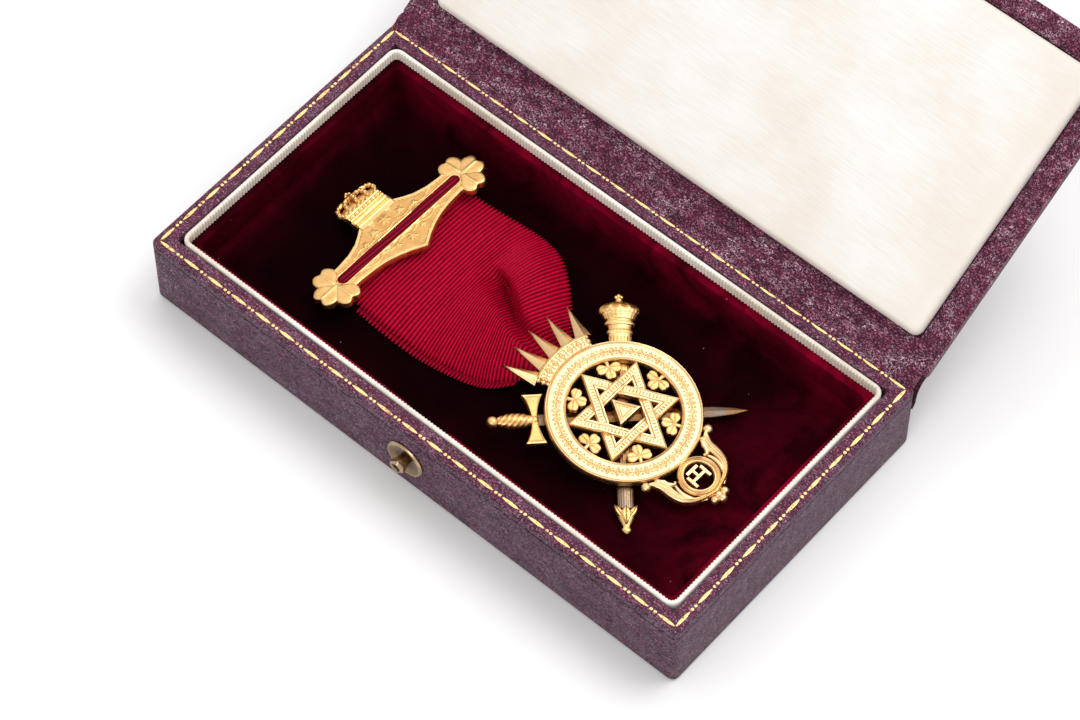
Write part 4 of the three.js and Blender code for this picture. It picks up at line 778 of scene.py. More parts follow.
# Guides in mm, from the bar to the loop. Each row goes from the lower selvedge to the upper one.
RIBBON_GUIDES = np.array([
    [(-38.6, -15.6, 8.6), (-38.6, -10, 8.8), (-38.5, -4.5, 8.9), (-38.4, 0.5, 8.9),
     (-38.4, 4, 8.9), (-38.3, 8, 8.9), (-38.2, 14, 8.8), (-38.1, 20.4, 8.6)],
    [(-33.4, -15.2, 7.9), (-33.3, -10.5, 8.5), (-33.2, -5, 8.8), (-33.1, 0.5, 8.9),
     (-33.1, 4.5, 8.9), (-33.0, 8.5, 8.9), (-32.9, 14.5, 8.7), (-32.8, 20.8, 8.0)],
    [(-28.0, -15.5, 7.8), (-28.0, -10.5, 8.7), (-27.9, -5, 9.2), (-27.8, 0.5, 9.4),
     (-27.8, 5, 9.4), (-27.7, 9, 9.3), (-27.6, 15, 9.0), (-27.5, 21.1, 8.0)],
    [(-22.4, -15.7, 7.8), (-22.4, -10.5, 9.0), (-22.4, -5, 9.8), (-22.5, 0.8, 10.0),
     (-22.6, 5.6, 9.8), (-22.5, 9.6, 9.8), (-22.3, 15.4, 9.6), (-22.0, 21.4, 8.4)],
    [(-16.8, -15.6, 7.8), (-17.2, -10.6, 9.3), (-17.6, -5, 10.3), (-18.0, 1.2, 10.5),
     (-18.5, 6.8, 9.7), (-18.3, 10.8, 9.9), (-17.6, 16, 10.2), (-16.9, 21.5, 8.8)],
    [(-12.2, -15.1, 7.8), (-12.8, -10.6, 9.6), (-13.5, -5.2, 10.9), (-14.4, 1.4, 11.3),
     (-14.6, 8.4, 7.6), (-14.2, 9.3, 11.2), (-13.3, 15.0, 11.9), (-12.6, 21.2, 9.2)],
    [(-7.6, -14.3, 7.9), (-8.6, -10.4, 9.9), (-9.7, -5.4, 11.3), (-10.9, 0.6, 11.9),
     (-11.3, 7.0, 7.3), (-10.3, 7.6, 12.5), (-8.9, 13.2, 12.9), (-8.0, 19.7, 9.7)],
    [(-3.2, -13.2, 8.0), (-4.6, -9.9, 10.0), (-6.0, -5.6, 11.4), (-7.5, -0.6, 11.9),
     (-7.9, 4.7, 7.8), (-6.6, 5.2, 12.9), (-4.4, 10.6, 13.0), (-3.4, 16.4, 9.9)],
    [(0.4, -11.5, 8.2), (-1.0, -8.9, 9.9), (-2.4, -5.6, 11.1), (-3.9, -2.0, 11.3),
     (-4.0, 1.9, 8.4), (-2.4, 2.8, 12.2), (-0.1, 7.6, 12.2), (1.0, 12.2, 10.0)],
    [(4.2, -8.0, 9.0), (3.2, -6.4, 9.8), (2.0, -4.4, 10.5), (0.8, -2.2, 10.6),
     (0.8, 0.1, 9.0), (2.6, 2.4, 11.2), (3.8, 5.4, 11.2), (4.4, 8.2, 10.0)],
    [(8.6, -5.0, 9.9), (8.5, -3.7, 10.1), (8.4, -2.3, 10.2), (8.4, -1.0, 10.2),
     (8.4, 0.3, 10.1), (8.5, 1.6, 10.3), (8.5, 3.0, 10.3), (8.6, 4.2, 10.2)],
])


def ribbed_sheet(guides, ribs, samples, columns, rib_height, scallop):
    """The cloth's surface between guides, cubic both ways. Each rib is a round cord: the surface rises
    by |sin| of the rib count along its normal, and at the selvedges the cords' ends stand out."""
    rows = ribs * samples + 1
    table = smooth_rows(np.swapaxes(smooth_rows(guides, rows), 0, 1), columns)
    grid = np.swapaxes(table, 0, 1)
    cord = np.abs(np.sin(np.arange(rows) / samples * math.pi))[:, None]
    along = np.gradient(grid, axis=0)
    across = np.gradient(grid, axis=1)
    normal = np.cross(along, across)
    normal *= np.sign(normal[:, :, 2:]) / np.linalg.norm(normal, axis=2, keepdims=True)
    side = np.linspace(-1, 1, columns)[None, :]
    edge = np.clip((np.abs(side) - 0.965) / 0.035, 0, 1)
    outwards = across / np.linalg.norm(across, axis=2, keepdims=True) * np.sign(side)[:, :, None]
    grid = grid + normal * ((cord - 0.5) * rib_height - edge ** 2 * 0.25)[:, :, None]
    grid = grid + outwards * ((cord - 0.5) * scallop * edge)[:, :, None]
    uv = np.stack([
        np.broadcast_to(side * 0.5 + 0.5, (rows, columns)),
        np.broadcast_to(np.linspace(0, 1, rows)[:, None], (rows, columns)),
    ], -1).reshape(-1, 2)
    # Painted shade: the tone is low between the cords.
    return grid, np.broadcast_to(cord ** 0.7, (rows, columns)), uv


def ribbon_silk_material():
    """Ribbed silk: bright crimson on the cords and wine between them as painted shade, with fine threads
    along the cloth.
    """
    made, tree, shader = material("ribbon_silk", {
        "Roughness": 0.55, "Specular IOR Level": 0.06, "Sheen Weight": 0.05, "Sheen Roughness": 0.35,
        "Sheen Tint": (1.0, 0.05, 0.2, 1),
    })
    cloth = add(tree, "ShaderNodeUVMap", uv_map="cloth")
    laid = add(tree, "ShaderNodeMapping", {"Vector": cloth.outputs[0], "Scale": (220, 30, 1)})
    threads = add(tree, "ShaderNodeTexNoise", {"Vector": laid.outputs[0], "Scale": 1.0, "Detail": 2.0})
    wide = add(tree, "ShaderNodeMapping", {"Vector": cloth.outputs[0], "Scale": (5, 40, 1)})
    cords = add(tree, "ShaderNodeTexNoise", {"Vector": wide.outputs[0], "Scale": 1.0, "Detail": 3.0})
    height = add(tree, "ShaderNodeAttribute", attribute_name="tone")
    lit = add(tree, "ShaderNodeMath", {
        0: cords.outputs["Fac"], 1: 0.7, 2: 0.55,
    }, operation="MULTIPLY_ADD")
    dotted = add(tree, "ShaderNodeMapRange", {
        "Value": threads.outputs["Fac"], "From Min": 0.35, "From Max": 0.6, "To Min": 0.6, "To Max": 1.1,
    })
    level = add(tree, "ShaderNodeMath", {0: height.outputs["Fac"], 1: lit.outputs[0]}, operation="MULTIPLY")
    mixed = add(tree, "ShaderNodeMath", {
        0: level.outputs[0], 1: dotted.outputs[0],
    }, operation="MULTIPLY", use_clamp=True)
    colour = add(tree, "ShaderNodeMix", {
        "Factor": mixed.outputs[0], 6: (0.045, 0.0, 0.005, 1), 7: (0.58, 0.001, 0.033, 1),
    }, data_type="RGBA")
    bump = add(tree, "ShaderNodeBump", {
        "Height": threads.outputs["Fac"], "Strength": 0.4, "Distance": 0.00008,
    })
    tree.links.new(colour.outputs[2], shader.inputs["Base Color"])
    tree.links.new(bump.outputs[0], shader.inputs["Normal"])
    return made


ribbon_silk = ribbon_silk_material()
upper_grid, upper_tone, upper_uv = ribbed_sheet(
    RIBBON_GUIDES, RIBS, RIB_SAMPLES, RIBBON_COLUMNS, RIB_HEIGHT, SCALLOP
)
ribbon_sheet = piece(
    "ribbed_ribbon", [skin(upper_grid, around=False, tone=upper_tone, facing=(0, 0, 1))],
    ribbon_silk, sharp=80, uv=upper_uv,
)
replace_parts(ribbon_sheet, "ribbon")

# Ribbon's turned-back end: the silk is doubled, and its lower layer shows as a second scalloped edge.
# It is a narrow strip of the same cloth that follows the upper layer's lower selvedge.
UNDER_RIBS, UNDER_SAMPLES, UNDER_COLUMNS = 47, 6, 24
selvedge = RIBBON_GUIDES[1:10, 0]
under_guides = np.stack([
    selvedge + (0.1, -1.15, -0.75), selvedge + (0, 2, -0.75), selvedge + (-0.1, 9, -0.2),
], 1)
under_grid, under_tone, under_uv = ribbed_sheet(
    under_guides, UNDER_RIBS, UNDER_SAMPLES, UNDER_COLUMNS, RIB_HEIGHT, SCALLOP
)
# Painted shade: the lower layer's tone is cut to 0.8 under the upper one.
under_sheet = piece(
    "ribbon_underlay", [skin(under_grid, around=False, tone=under_tone * 0.8, facing=(0, 0, 1))],
    ribbon_silk, sharp=80, uv=under_uv,
)

# Ribbon's roll: the fold that stands in the bar's slot, one tight roll of the same silk. Its cords run
# lengthwise, and it narrows at both ends of the slot.
ROLL_ROWS, ROLL_COLUMNS = 90, 49
ROLL_HALF = 1.12
roll_v = np.linspace(-18.1, 18.1, ROLL_ROWS)
roll_angle = np.linspace(-0.3 * math.pi, 1.3 * math.pi, ROLL_COLUMNS)
roll_half = ROLL_HALF * np.sqrt(np.clip(1 - (np.abs(roll_v) / 18.3) ** 24, 0.02, 1))
strands = np.cos(roll_angle[None, :] * 7 + roll_v[:, None] * 0.3)
roll_ripple = 1 + 0.06 * strands + 0.03 * np.sin(roll_v * 1.3)[:, None]
roll_grid = np.stack([
    roll_half[:, None] * np.cos(roll_angle) * roll_ripple,
    np.broadcast_to(roll_v[:, None], (ROLL_ROWS, ROLL_COLUMNS)),
    0.35 + 0.75 * np.sin(roll_angle) * roll_ripple * (roll_half[:, None] / ROLL_HALF),
], -1)
roll_uv = np.stack(
    np.meshgrid(np.linspace(0, 0.2, ROLL_COLUMNS), np.linspace(0, 1, ROLL_ROWS)), -1
).reshape(-1, 2)
# The roll's tone is low and dips between its strands: painted shade between them, and darker overall.
piece(
    "ribbon_roll",
    [skin(roll_grid, tone=0.28 + 0.3 * strands)],
    ribbon_silk, place=bar_place, sharp=80,
    uv=np.vstack([roll_uv, roll_uv[:1], roll_uv[-1:]]),
)

# Brooch bar: a cast and gilt bar, waisted at both ends and pointed towards the ribbon, with a slot that
# the ribbon is threaded through. Its edges are burnished borders round a matt, engraved field.
BAR_TOP, BAR_BACK = 0.75, -0.75
gilt = metal("gilt", (0.96, 0.63, 0.27, 1), (0.50, 0.22, 0.04, 1), 0.34, 0.00004)
pale_gilt = metal("pale_gilt", (0.97, 0.69, 0.37, 1), (0.54, 0.27, 0.07, 1), 0.34, 0.00003)
rough_gilt = metal("rough_gilt", (0.96, 0.63, 0.26, 1), (0.40, 0.17, 0.03, 1), 0.34, 0.00012, 1.0, 1500.0)


def ribbon_strip(left, right, top, back, relief, closed=False, tone=None, edge=0.14):
    """A flat-backed strip between two edge lines. Each row goes over the top from left to right, raised
    by the relief and rounded off within `edge` of both sides, then returns along the flat back."""
    rows, columns = relief.shape
    share = np.linspace(0, 1, columns)[None, :, None]
    plan = left[:, None] + (right - left)[:, None] * share
    width = np.linalg.norm(right - left, axis=1)[:, None]
    inside = np.minimum(share[:, :, 0], 1 - share[:, :, 0]) * width
    round_off = edge * (1 - np.sqrt(np.clip(1 - (1 - np.clip(inside / edge, 0, 1)) ** 2, 0, 1)))
    over = np.concatenate([plan, (top + relief - round_off)[:, :, None]], -1)
    under = np.stack([
        np.column_stack([right, np.full(rows, back)]), np.column_stack([left, np.full(rows, back)]),
    ], 1)
    # Painted shade: without a given tone it follows the relief, darker where sunk, and the flat back's two
    # rows are always 0.4, so the side walls darken downwards.
    level = np.clip(0.8 + relief * 2.2, 0, 1) if tone is None else np.broadcast_to(tone, relief.shape)
    level = np.concatenate([level, np.full((rows, 2), 0.4)], 1)
    return skin(np.concatenate([over, under], 1), along=closed, caps=(not closed, not closed), tone=level)


def ridge(distance, width, height):
    """A rounded ridge: a half cosine within half its width of a line, and nothing beyond it."""
    return height * np.cos(np.clip(np.abs(distance) / width, 0, 1) * math.pi / 2) ** 2


bar_v = np.concatenate([
    np.linspace(-19.4, -5.35, 90), np.linspace(-5.2, -5.0, 4), np.linspace(-4.9, 4.9, 80),
    np.linspace(5.0, 5.2, 4), np.linspace(5.35, 19.4, 90),
])
reach = np.abs(bar_v)
slot_half = np.where(reach > 17.1, np.sqrt(np.clip(1.44 - (reach - 17.1) ** 2, 0, None)), 1.2)
right_edge = np.interp(
    np.abs(bar_v - 0.5), [0, 3, 5.5, 8.5, 11.5, 15.5, 19], [7.9, 6.2, 5.1, 4.1, 3.6, 3.3, 3.3]
)
left_edge = np.where(
    reach <= 5.1, 9.3, np.interp(reach, [5.2, 7, 9, 12, 15.5, 19], [6.8, 5.6, 4.5, 3.6, 3.2, 3.2])
)
flat_plan = {"right": (slot_half, right_edge), "left": (-slot_half, -left_edge)}
bar_skins = []
for side_name, (inner, outer) in flat_plan.items():
    left = np.column_stack([inner, bar_v])
    right = np.column_stack([outer, bar_v])
    share = np.linspace(0, 1, 44)[None, :]
    across = np.abs(outer - inner)[:, None]
    from_outer = (1 - share) * across
    from_inner = share * across
    u = inner[:, None] + (outer - inner)[:, None] * share
    v = bar_v[:, None]
    relief = -0.22 * np.clip(from_outer / 0.25 - 3.2, 0, 1) * np.clip(from_inner / 0.2 - 1.5, 0, 1)
    relief += ridge(from_outer - 0.95, 0.14, -0.08)
    flowers = 0
    for centre_u, centre_v, petals, size in (
        (3.5, 0.5, 6, 1.3), (2.9, 4.2, 5, 0.8), (2.9, -3.2, 5, 0.8), (-4.4, 0, 6, 1.5),
        (-3.6, 4.0, 5, 1.1), (-3.6, -4.0, 5, 1.1), (-2.7, 7.4, 5, 0.8), (-2.7, -7.4, 5, 0.8),
        (-5.7, 2.6, 4, 0.7), (-5.7, -2.6, 4, 0.7),
    ):
        far = np.hypot(u - centre_u, v - centre_v) / size
        around = np.arctan2(v - centre_v, u - centre_u)
        outline = 0.5 + 0.5 * np.abs(np.cos(around * petals / 2))
        flowers = flowers + 0.17 * np.sqrt(np.clip(1 - far / outline, 0, 1)) - ridge(far, 0.25, 0.08)
    stems = ridge(np.abs(u) - 2.3 - 0.35 * np.sin(v * 1.2), 0.16, 0.09) * (np.abs(v) < 12)
    relief += (flowers + stems) * np.clip(from_outer / 0.3 - 3, 0, 1) * np.clip(from_inner / 0.2 - 1.5, 0, 1)
    if side_name == "left":
        step = np.clip((5.0 - reach) / 0.2, 0, 1)[:, None]
        mouldings = (
            ridge(u + 7.25, 0.3, 0.3) + ridge(u + 7.85, 0.35, 0.45) + ridge(u + 8.5, 0.35, 0.3)
        )
        relief = np.where((step > 0) & (u < -6.8), mouldings * step, relief)
        relief = np.where((step > 0) & (u <= -5.9) & (u > -6.8), 0.0, relief)
    # Painted shade: the sunk field and the engraved outlines are darker by their depth.
    bar_tone = np.clip(0.95 + 2.2 * relief, 0, 1)
    bar_skins.append(ribbon_strip(left, right, BAR_TOP, BAR_BACK, relief, tone=bar_tone))


def leaf(centre, turn, length, width, notch, back, edge_height, dome, vein, squeeze=0.0):
    """A heart-shaped leaf: its outline is a polar curve about its middle, pulled in by a notch at the tip
    and drawn out to the stalk. Rings shrink towards the middle while the height follows a dome, with a
    raised vein along the mid-line."""
    angle = np.linspace(-math.pi, math.pi, 64, endpoint=False)
    away = math.pi - np.abs(angle)
    notched = notch * np.exp(-((angle / 0.38) ** 2))
    stalk = 0.42 * np.exp(-((away / 0.42) ** 2))
    radius = 1 - notched + stalk - squeeze * np.exp(-((away / 1.1) ** 2))
    rings = np.sin(np.linspace(0.04, 1, 16) * math.pi / 2)[:, None]
    x = np.cos(angle) * radius * length / 2
    y = np.sin(angle) * radius * width / 2
    height = edge_height + dome * np.sqrt(np.clip(1 - rings ** 5, 0, 1)) * (0.8 + 0.2 * rings ** 2)
    height = height + vein * np.exp(-((y * rings / (0.05 * width)) ** 2)) * np.clip(1.05 - rings, 0, 1) ** 0.3
    grid = np.stack([x * rings, y * rings, height + 0 * x], -1)
    wall = np.stack([x, y, np.full_like(x, back)], -1)[None]
    grid = np.concatenate([grid, wall])
    cosine, sine = math.cos(turn), math.sin(turn)
    plan = grid[:, :, :2] @ np.array([[cosine, sine], [-sine, cosine]]) + np.array(centre)
    # Painted light: the tone is brighter towards the leaf's rim and along its vein as painted highlight, and
    # low on the wall under it as painted shade.
    tone = np.clip(0.62 + 0.4 * rings ** 5 + 3 * vein * np.exp(-((y * rings / (0.06 * width)) ** 2)), 0, 1)
    tone = np.concatenate([tone, np.full((1, 64), 0.3)])
    return skin(np.concatenate([plan, grid[:, :, 2:]], -1), tone=tone)


for end in (1, -1):
    for turn_degrees, centre, length, width in (
        (90, (0.15, 22.1), 6.2, 5.8), (0, (3.15, 19.3), 5.7, 6.0), (180, (-3.05, 19.3), 5.5, 6.0),
    ):
        bar_skins.append(leaf(
            (centre[0], end * centre[1]), math.radians(turn_degrees) * (end if turn_degrees == 90 else 1),
            length, width, 0.36, BAR_BACK, BAR_TOP - 0.2, 0.42, 0.12, 0.3,
        ))

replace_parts(piece("gilt_bar", bar_skins, gilt, place=bar_place), "brooch_bar")

# The bar's crown: a small openwork crown cast in one rough piece with an orb and cross, soldered on
# the pedestal. Its arches are beaded, and under them lies a darker plate: painted shade in the gaps between
# them.


def wire(path, radius, sides=8, flatness=1.0, tone=1.0):
    """A round wire along a path: a circle in the plane of the path's side direction and the w axis."""
    path = np.asarray(path, float)
    tangent = np.gradient(path, axis=0)
    tangent /= np.linalg.norm(tangent, axis=1, keepdims=True)
    side = np.cross(tangent, [0, 0, 1.0])
    side /= np.linalg.norm(side, axis=1, keepdims=True)
    lift = np.cross(side, tangent)
    angle = np.linspace(0, 2 * math.pi, sides, endpoint=False)
    radius = np.broadcast_to(radius, len(path))[:, None, None]
    ring = side[:, None] * np.cos(angle)[:, None] + lift[:, None] * np.sin(angle)[:, None] * flatness
    return skin(path[:, None] + ring * radius, tone=tone)


def ball(centre, radius, flatness=1.0, sides=16, tone=1.0):
    """A ball, or a flattened one: circles of latitude about the w axis."""
    latitude = np.linspace(-0.48, 0.48, 9) * math.pi
    angle = np.linspace(0, 2 * math.pi, sides, endpoint=False)
    grid = np.stack([
        np.cos(latitude)[:, None] * np.cos(angle), np.cos(latitude)[:, None] * np.sin(angle),
        np.sin(latitude)[:, None] * flatness + 0 * angle,
    ], -1) * radius
    return skin(grid + np.array(centre), tone=tone)


crown_skins = []
circlet_v = np.linspace(-4.9, 4.9, 50)
circlet_relief = np.zeros((50, 16)) + 0.2 * np.abs(np.sin(np.linspace(0, 1, 16) * math.pi * 2.5))[None, :]
crown_skins.append(ribbon_strip(
    np.column_stack([np.full(50, -9.1), circlet_v]), np.column_stack([np.full(50, -11.0), circlet_v]),
    0.9, BAR_BACK, circlet_relief,
))
# Painted shade: the plate under the arches is toned darker.
crown_skins.append(ribbon_strip(
    np.column_stack([np.full(50, -10.8), circlet_v]),
    np.column_stack([-12.2 - 1.6 * np.cos(circlet_v / 4.9 * math.pi / 2) ** 0.5, circlet_v * 1.02]),
    0.5, BAR_BACK, 0.35 * np.sin(np.linspace(0, math.pi, 8))[None, :] + np.zeros((50, 1)), tone=0.5,
))
climb = np.linspace(0, 1, 26)
for foot, bulge in ((-4.5, -1.3), (-2.5, -0.6), (0.0, 0.0), (2.5, 0.6), (4.5, 1.3)):
    arch = np.column_stack([
        -10.9 - 3.5 * np.sin(climb * math.pi / 2) ** 0.8,
        foot * np.cos(climb * math.pi / 2) ** 0.8 + bulge * np.sin(climb * math.pi),
        0.4 + 0.9 * np.sin(climb * math.pi) * (1.2 - abs(foot) / 6),
    ])
    crown_skins.append(wire(arch, 0.52 + 0.12 * np.cos(climb * 26), 8, 1.0, 0.8))
    crown_skins += [ball(point + np.array([0, 0, 0.3]), 0.42, tone=0.9) for point in arch[3:24:4]]
for v in np.linspace(-4.4, 4.4, 8):
    crown_skins.append(ball((-11.3, v, 0.9), 0.48, tone=0.9))
    crown_skins.append(ball((-10.0, v + 0.3, 1.05), 0.4, tone=1.0))
crown_skins.append(ball((-14.5, 0, 0.7), 0.7, tone=0.8))
crown_skins.append(ball((-15.3, 0.55, 0.7), 0.38, tone=1.0))
crown_skins.append(ball((-15.3, -0.55, 0.7), 0.38, tone=1.0))
crown_skins.append(ball((-15.7, 0, 0.7), 0.4, tone=1.0))
piece("bar_crown", crown_skins, rough_gilt, place=bar_place)

# Large ring: a cast ring with a rounded border along both edges. The band between them is engraved
# with a plain running ornament of lozenges and pellets.
RING_IN, RING_OUT = 11.9, 16.35
FACE, REAR = 0.75, -0.75
RING_STEPS = 960
RING_MIDDLE = 14.0
RING_LOZENGES = 44


def circle(radius, start, end, count, centre=(0, 0)):
    """Points on an arc between two angles in degrees."""
    angle = np.radians(np.linspace(start, end, count))
    return np.column_stack([centre[0] + radius * np.cos(angle), centre[1] + radius * np.sin(angle)])


def ornament(arc_place, radial, pitch):
    """Sunk open lozenges with a column of three pellets between them: the depth follows the distance to
    each outline, taken from the place along the band within one pitch and across it."""
    cell = np.mod(arc_place, pitch) - pitch / 2
    lozenge = np.abs(np.abs(cell) / 0.56 + np.abs(radial) / 0.82 - 1)
    rows = np.minimum(np.abs(radial), np.abs(np.abs(radial) - 0.6))
    pellets = np.hypot(np.abs(cell) - pitch / 2, rows) / 0.21
    centre = np.hypot(cell, radial) / 0.2
    marks_depth = np.clip(2.2 - lozenge / 0.16, 0, 1)
    marks_depth = marks_depth + np.clip(2.4 - 2 * pellets, 0, 1) + np.clip(2 - 2 * centre, 0, 1)
    return -0.15 * np.clip(marks_depth, 0, 1)


ring_degrees = 360 * (1 - 1 / RING_STEPS)
ring_angle = np.radians(np.linspace(0, ring_degrees, RING_STEPS))[:, None]
ring_radius = np.linspace(RING_IN, RING_OUT, 58)[None, :]
ring_relief = ridge(ring_radius - 16.08, 0.24, 0.2) + ridge(ring_radius - 15.75, 0.13, -0.1)
ring_relief = ring_relief + ridge(ring_radius - 12.13, 0.2, 0.18) + ridge(ring_radius - 12.42, 0.12, -0.1)
ring_pitch = 2 * math.pi * RING_MIDDLE / RING_LOZENGES
ring_relief = ring_relief + ornament(ring_angle * RING_MIDDLE, ring_radius - RING_MIDDLE, ring_pitch)
# Painted shade: the tone darkens the engraving and the grooves beside the borders by their depth.
ring_skin = ribbon_strip(
    circle(RING_IN, 0, ring_degrees, RING_STEPS), circle(RING_OUT, 0, ring_degrees, RING_STEPS),
    FACE, REAR, ring_relief, closed=True, tone=np.clip(0.95 + 3.2 * ring_relief, 0.1, 1),
)
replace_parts(piece("engraved_ring", [ring_skin], pale_gilt, place=pendant_place), "jewel_ring")

# Star: two triangular frames woven over and under each other, each arm engraved with a border line and
# a row of small sunk strokes. It is fitted inside the ring and soldered at its six points.
STAR_REACH = 12.1
STAR_ARM = 2.3
star_middle = (STAR_REACH - STAR_ARM) / 2 + 0.1
star_crossing = star_middle / math.sqrt(3)


def triangle_frame(outer, inner, turn, top, back, steps, columns, weave, relief_of):
    """A closed triangular band. Every line of it is a triangle of its own apothem, so the corners are
    mitred: a side's points are its normal times the apothem plus its direction times the half side."""
    apothem = np.linspace(inner, outer, columns)[None, :]
    t = np.linspace(-1, 1, steps, endpoint=False)[:, None]
    rows, heights, tones = [], [], []
    for k in range(3):
        angle = turn + math.pi / 3 + k * 2 * math.pi / 3
        normal = np.array([math.cos(angle), math.sin(angle)])
        direction = np.array([-math.sin(angle), math.cos(angle)])
        x = t * math.sqrt(3) * apothem
        rows.append(apothem[:, :, None] * normal + x[:, :, None] * direction)
        engraved = relief_of(x, apothem)
        heights.append(engraved + weave(x))
        # Painted shade: the engraving darkens by its depth, and an arm is darker where it passes under the
        # other.
        tones.append(np.clip(0.95 + 5 * engraved - 0.25 * (weave(x) < -0.15), 0.1, 1))
    plan = np.concatenate(rows)
    height = np.concatenate(heights)
    inside = np.minimum(apothem - inner, outer - apothem)
    height = height - 0.14 * (1 - np.sqrt(np.clip(1 - (1 - np.clip(inside / 0.14, 0, 1)) ** 2, 0, 1)))
    over = np.concatenate([plan, (top + height)[:, :, None]], -1)
    under = np.concatenate([plan[:, [-1, 0]], np.full((len(plan), 2, 1), back)], -1)
    tone = np.concatenate([np.concatenate(tones), np.full((len(plan), 2), 0.3)], 1)
    return skin(np.concatenate([over, under], 1), along=True, caps=(False, False), tone=tone)


def weave(x):
    """Over at the first crossing of a side and under at the second."""
    over, under = (np.exp(-(((x - place) / 1.5) ** 4)) for place in (-star_crossing, star_crossing))
    return 0.22 * over - 0.3 * under


def arm_relief(x, apothem):
    """A border line along both edges of an arm and small strokes between them."""
    off = np.abs(apothem - (star_middle + 0.05))
    strokes = np.clip(np.cos(x * 2 * math.pi / 0.72) * 1.8 - 0.5, 0, 1) * np.clip((0.45 - off) / 0.1, 0, 1)
    return ridge(off - 0.74, 0.14, -0.14) - 0.1 * strokes


star_skins = [
    triangle_frame(STAR_REACH / 2, STAR_REACH / 2 - STAR_ARM, turn, 0.7, -0.7, 150, 26, weave, arm_relief)
    for turn in (0, math.pi)
]
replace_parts(piece("woven_star", star_skins, pale_gilt, place=pendant_place), "star")

# Centre triangle: a raised triangle with a burnished border round a sunk field, pointing to the crown.
# A finer line follows the border inside the field.
triangle_levels = [
    (3.3, -0.7), (3.6, -0.6), (3.6, 0.95), (3.4, 1.2), (2.9, 1.28), (2.55, 1.2), (2.4, 0.98), (1.75, 0.98),
    (1.65, 0.85), (1.5, 0.85), (1.4, 0.98), (0.6, 0.98),
]
SIDE_STEPS = 12
side_share = np.linspace(0, 1, SIDE_STEPS, endpoint=False)[:, None]
triangle_rows = []
for corner_radius, level in triangle_levels:
    corners = circle(corner_radius, 180, 540, 4)
    ring = np.concatenate([
        corners[k] + (corners[k + 1] - corners[k]) * side_share for k in range(3)
    ])
    triangle_rows.append(np.column_stack([ring, np.full(3 * SIDE_STEPS, level)]))
# Painted shade: the outer wall, the foot of the border's inner step and the groove in the field are darker.
triangle_tone = np.array([0.3, 0.4, 0.7, 1, 1, 1, 0.2, 0.75, 0.2, 0.2, 0.8, 0.9])[:, None]
triangle_skin = skin(np.array(triangle_rows), tone=triangle_tone)
raised = piece("raised_triangle", [triangle_skin], pale_gilt, place=pendant_place)
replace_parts(raised, "centre_triangle")

# Shamrocks: six cast sprigs of three leaves, their stalks soldered to the ring between the star's points.
# Each leaf is a small heart with a raised vein.
for number in range(6):
    bearing = math.radians(30 + 60 * number)
    sprig = [
        leaf((8.85, 0), math.pi, 2.3, 2.3, 0.2, -0.5, 0.35, 0.35, 0.12),
        leaf((10.35, 1.6), math.radians(97), 2.3, 2.3, 0.2, -0.5, 0.35, 0.35, 0.12),
        leaf((10.35, -1.6), math.radians(-97), 2.3, 2.3, 0.2, -0.5, 0.35, 0.35, 0.12),
        wire([(9.6, 0, 0.1), (10.6, 0, 0.15), (11.4, 0, 0.1), (12.2, 0, 0)], [0.4, 0.42, 0.4, 0.5], 10, 0.9),
    ]
    made = piece(
        f"sprig_{number + 1}", sprig, gilt, place=pendant_place @ rotation("Z", bearing)
    )
    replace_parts(made, f"shamrock_{number + 1}")

# Rayed crown: a band bordered like the ring and laid against it, with five sharp spikes that are each
# ridged down the middle, and small knobs at both ends of the band.
CROWN_IN, CROWN_OUT = 15.9, 19.3
CROWN_START, CROWN_END = 158, 202
CROWN_STEPS = 220
CROWN_MIDDLE = 17.5
RAY_FOOT, RAY_TIP = 19.0, 26.75
crown_relief_radius = np.linspace(CROWN_IN, CROWN_OUT, 40)[None, :]
crown_relief = (
    ridge(crown_relief_radius - 16.15, 0.22, 0.22) + ridge(crown_relief_radius - 18.95, 0.3, 0.28)
    + ridge(crown_relief_radius - 18.5, 0.11, -0.1) + ridge(crown_relief_radius - 16.55, 0.11, -0.1)
)
crown_angle = np.radians(np.linspace(CROWN_START, CROWN_END, CROWN_STEPS))[:, None]
crown_pitch = CROWN_MIDDLE * math.radians(CROWN_END - CROWN_START) / 6
crown_relief = crown_relief + ornament(
    crown_angle * CROWN_MIDDLE, crown_relief_radius - CROWN_MIDDLE, crown_pitch
)
# Painted shade: the band's engraving and grooves are darker by their depth.
ray_skins = [ribbon_strip(
    circle(CROWN_IN, CROWN_START, CROWN_END, CROWN_STEPS),
    circle(CROWN_OUT, CROWN_START, CROWN_END, CROWN_STEPS), 0.95, REAR, crown_relief,
    tone=np.clip(0.92 + 4.2 * crown_relief, 0.1, 1),
)]
for i in range(-2, 3):
    middle = math.radians(180 + i * 10.7)
    spread = np.linspace(0, 1, 40)
    half_width = 1.62 * (1 - spread) ** 1.1 + 0.07
    length_from = RAY_FOOT + (RAY_TIP - RAY_FOOT) * spread
    turn = rotation("Z", middle)[:2, :2]
    left = np.column_stack([length_from, half_width]) @ turn.T
    right = np.column_stack([length_from, -half_width]) @ turn.T
    # Painted light: each spike is brighter along its ridge and darker on its flanks.
    ridge_line = (0.5 - np.abs(np.linspace(0, 1, 9) - 0.5))[None, :] * 2
    relief = ridge_line * (0.9 * (1 - spread) + 0.25)[:, None] - 0.6
    ray_skins.append(ribbon_strip(left, right, 0.55, -0.55, relief, tone=0.7 + 0.3 * ridge_line, edge=0.02))
for side in (-1, 1):
    for radius, size in ((16.6, 0.5), (17.6, 0.62), (18.7, 0.55)):
        place = circle(radius, 180 + side * 22.6, 180 + side * 22.6, 1)[0]
        ray_skins.append(ball((place[0], place[1], 0.2), size))
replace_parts(piece("crown_rays", ray_skins, pale_gilt, place=pendant_place), "rayed_crown")

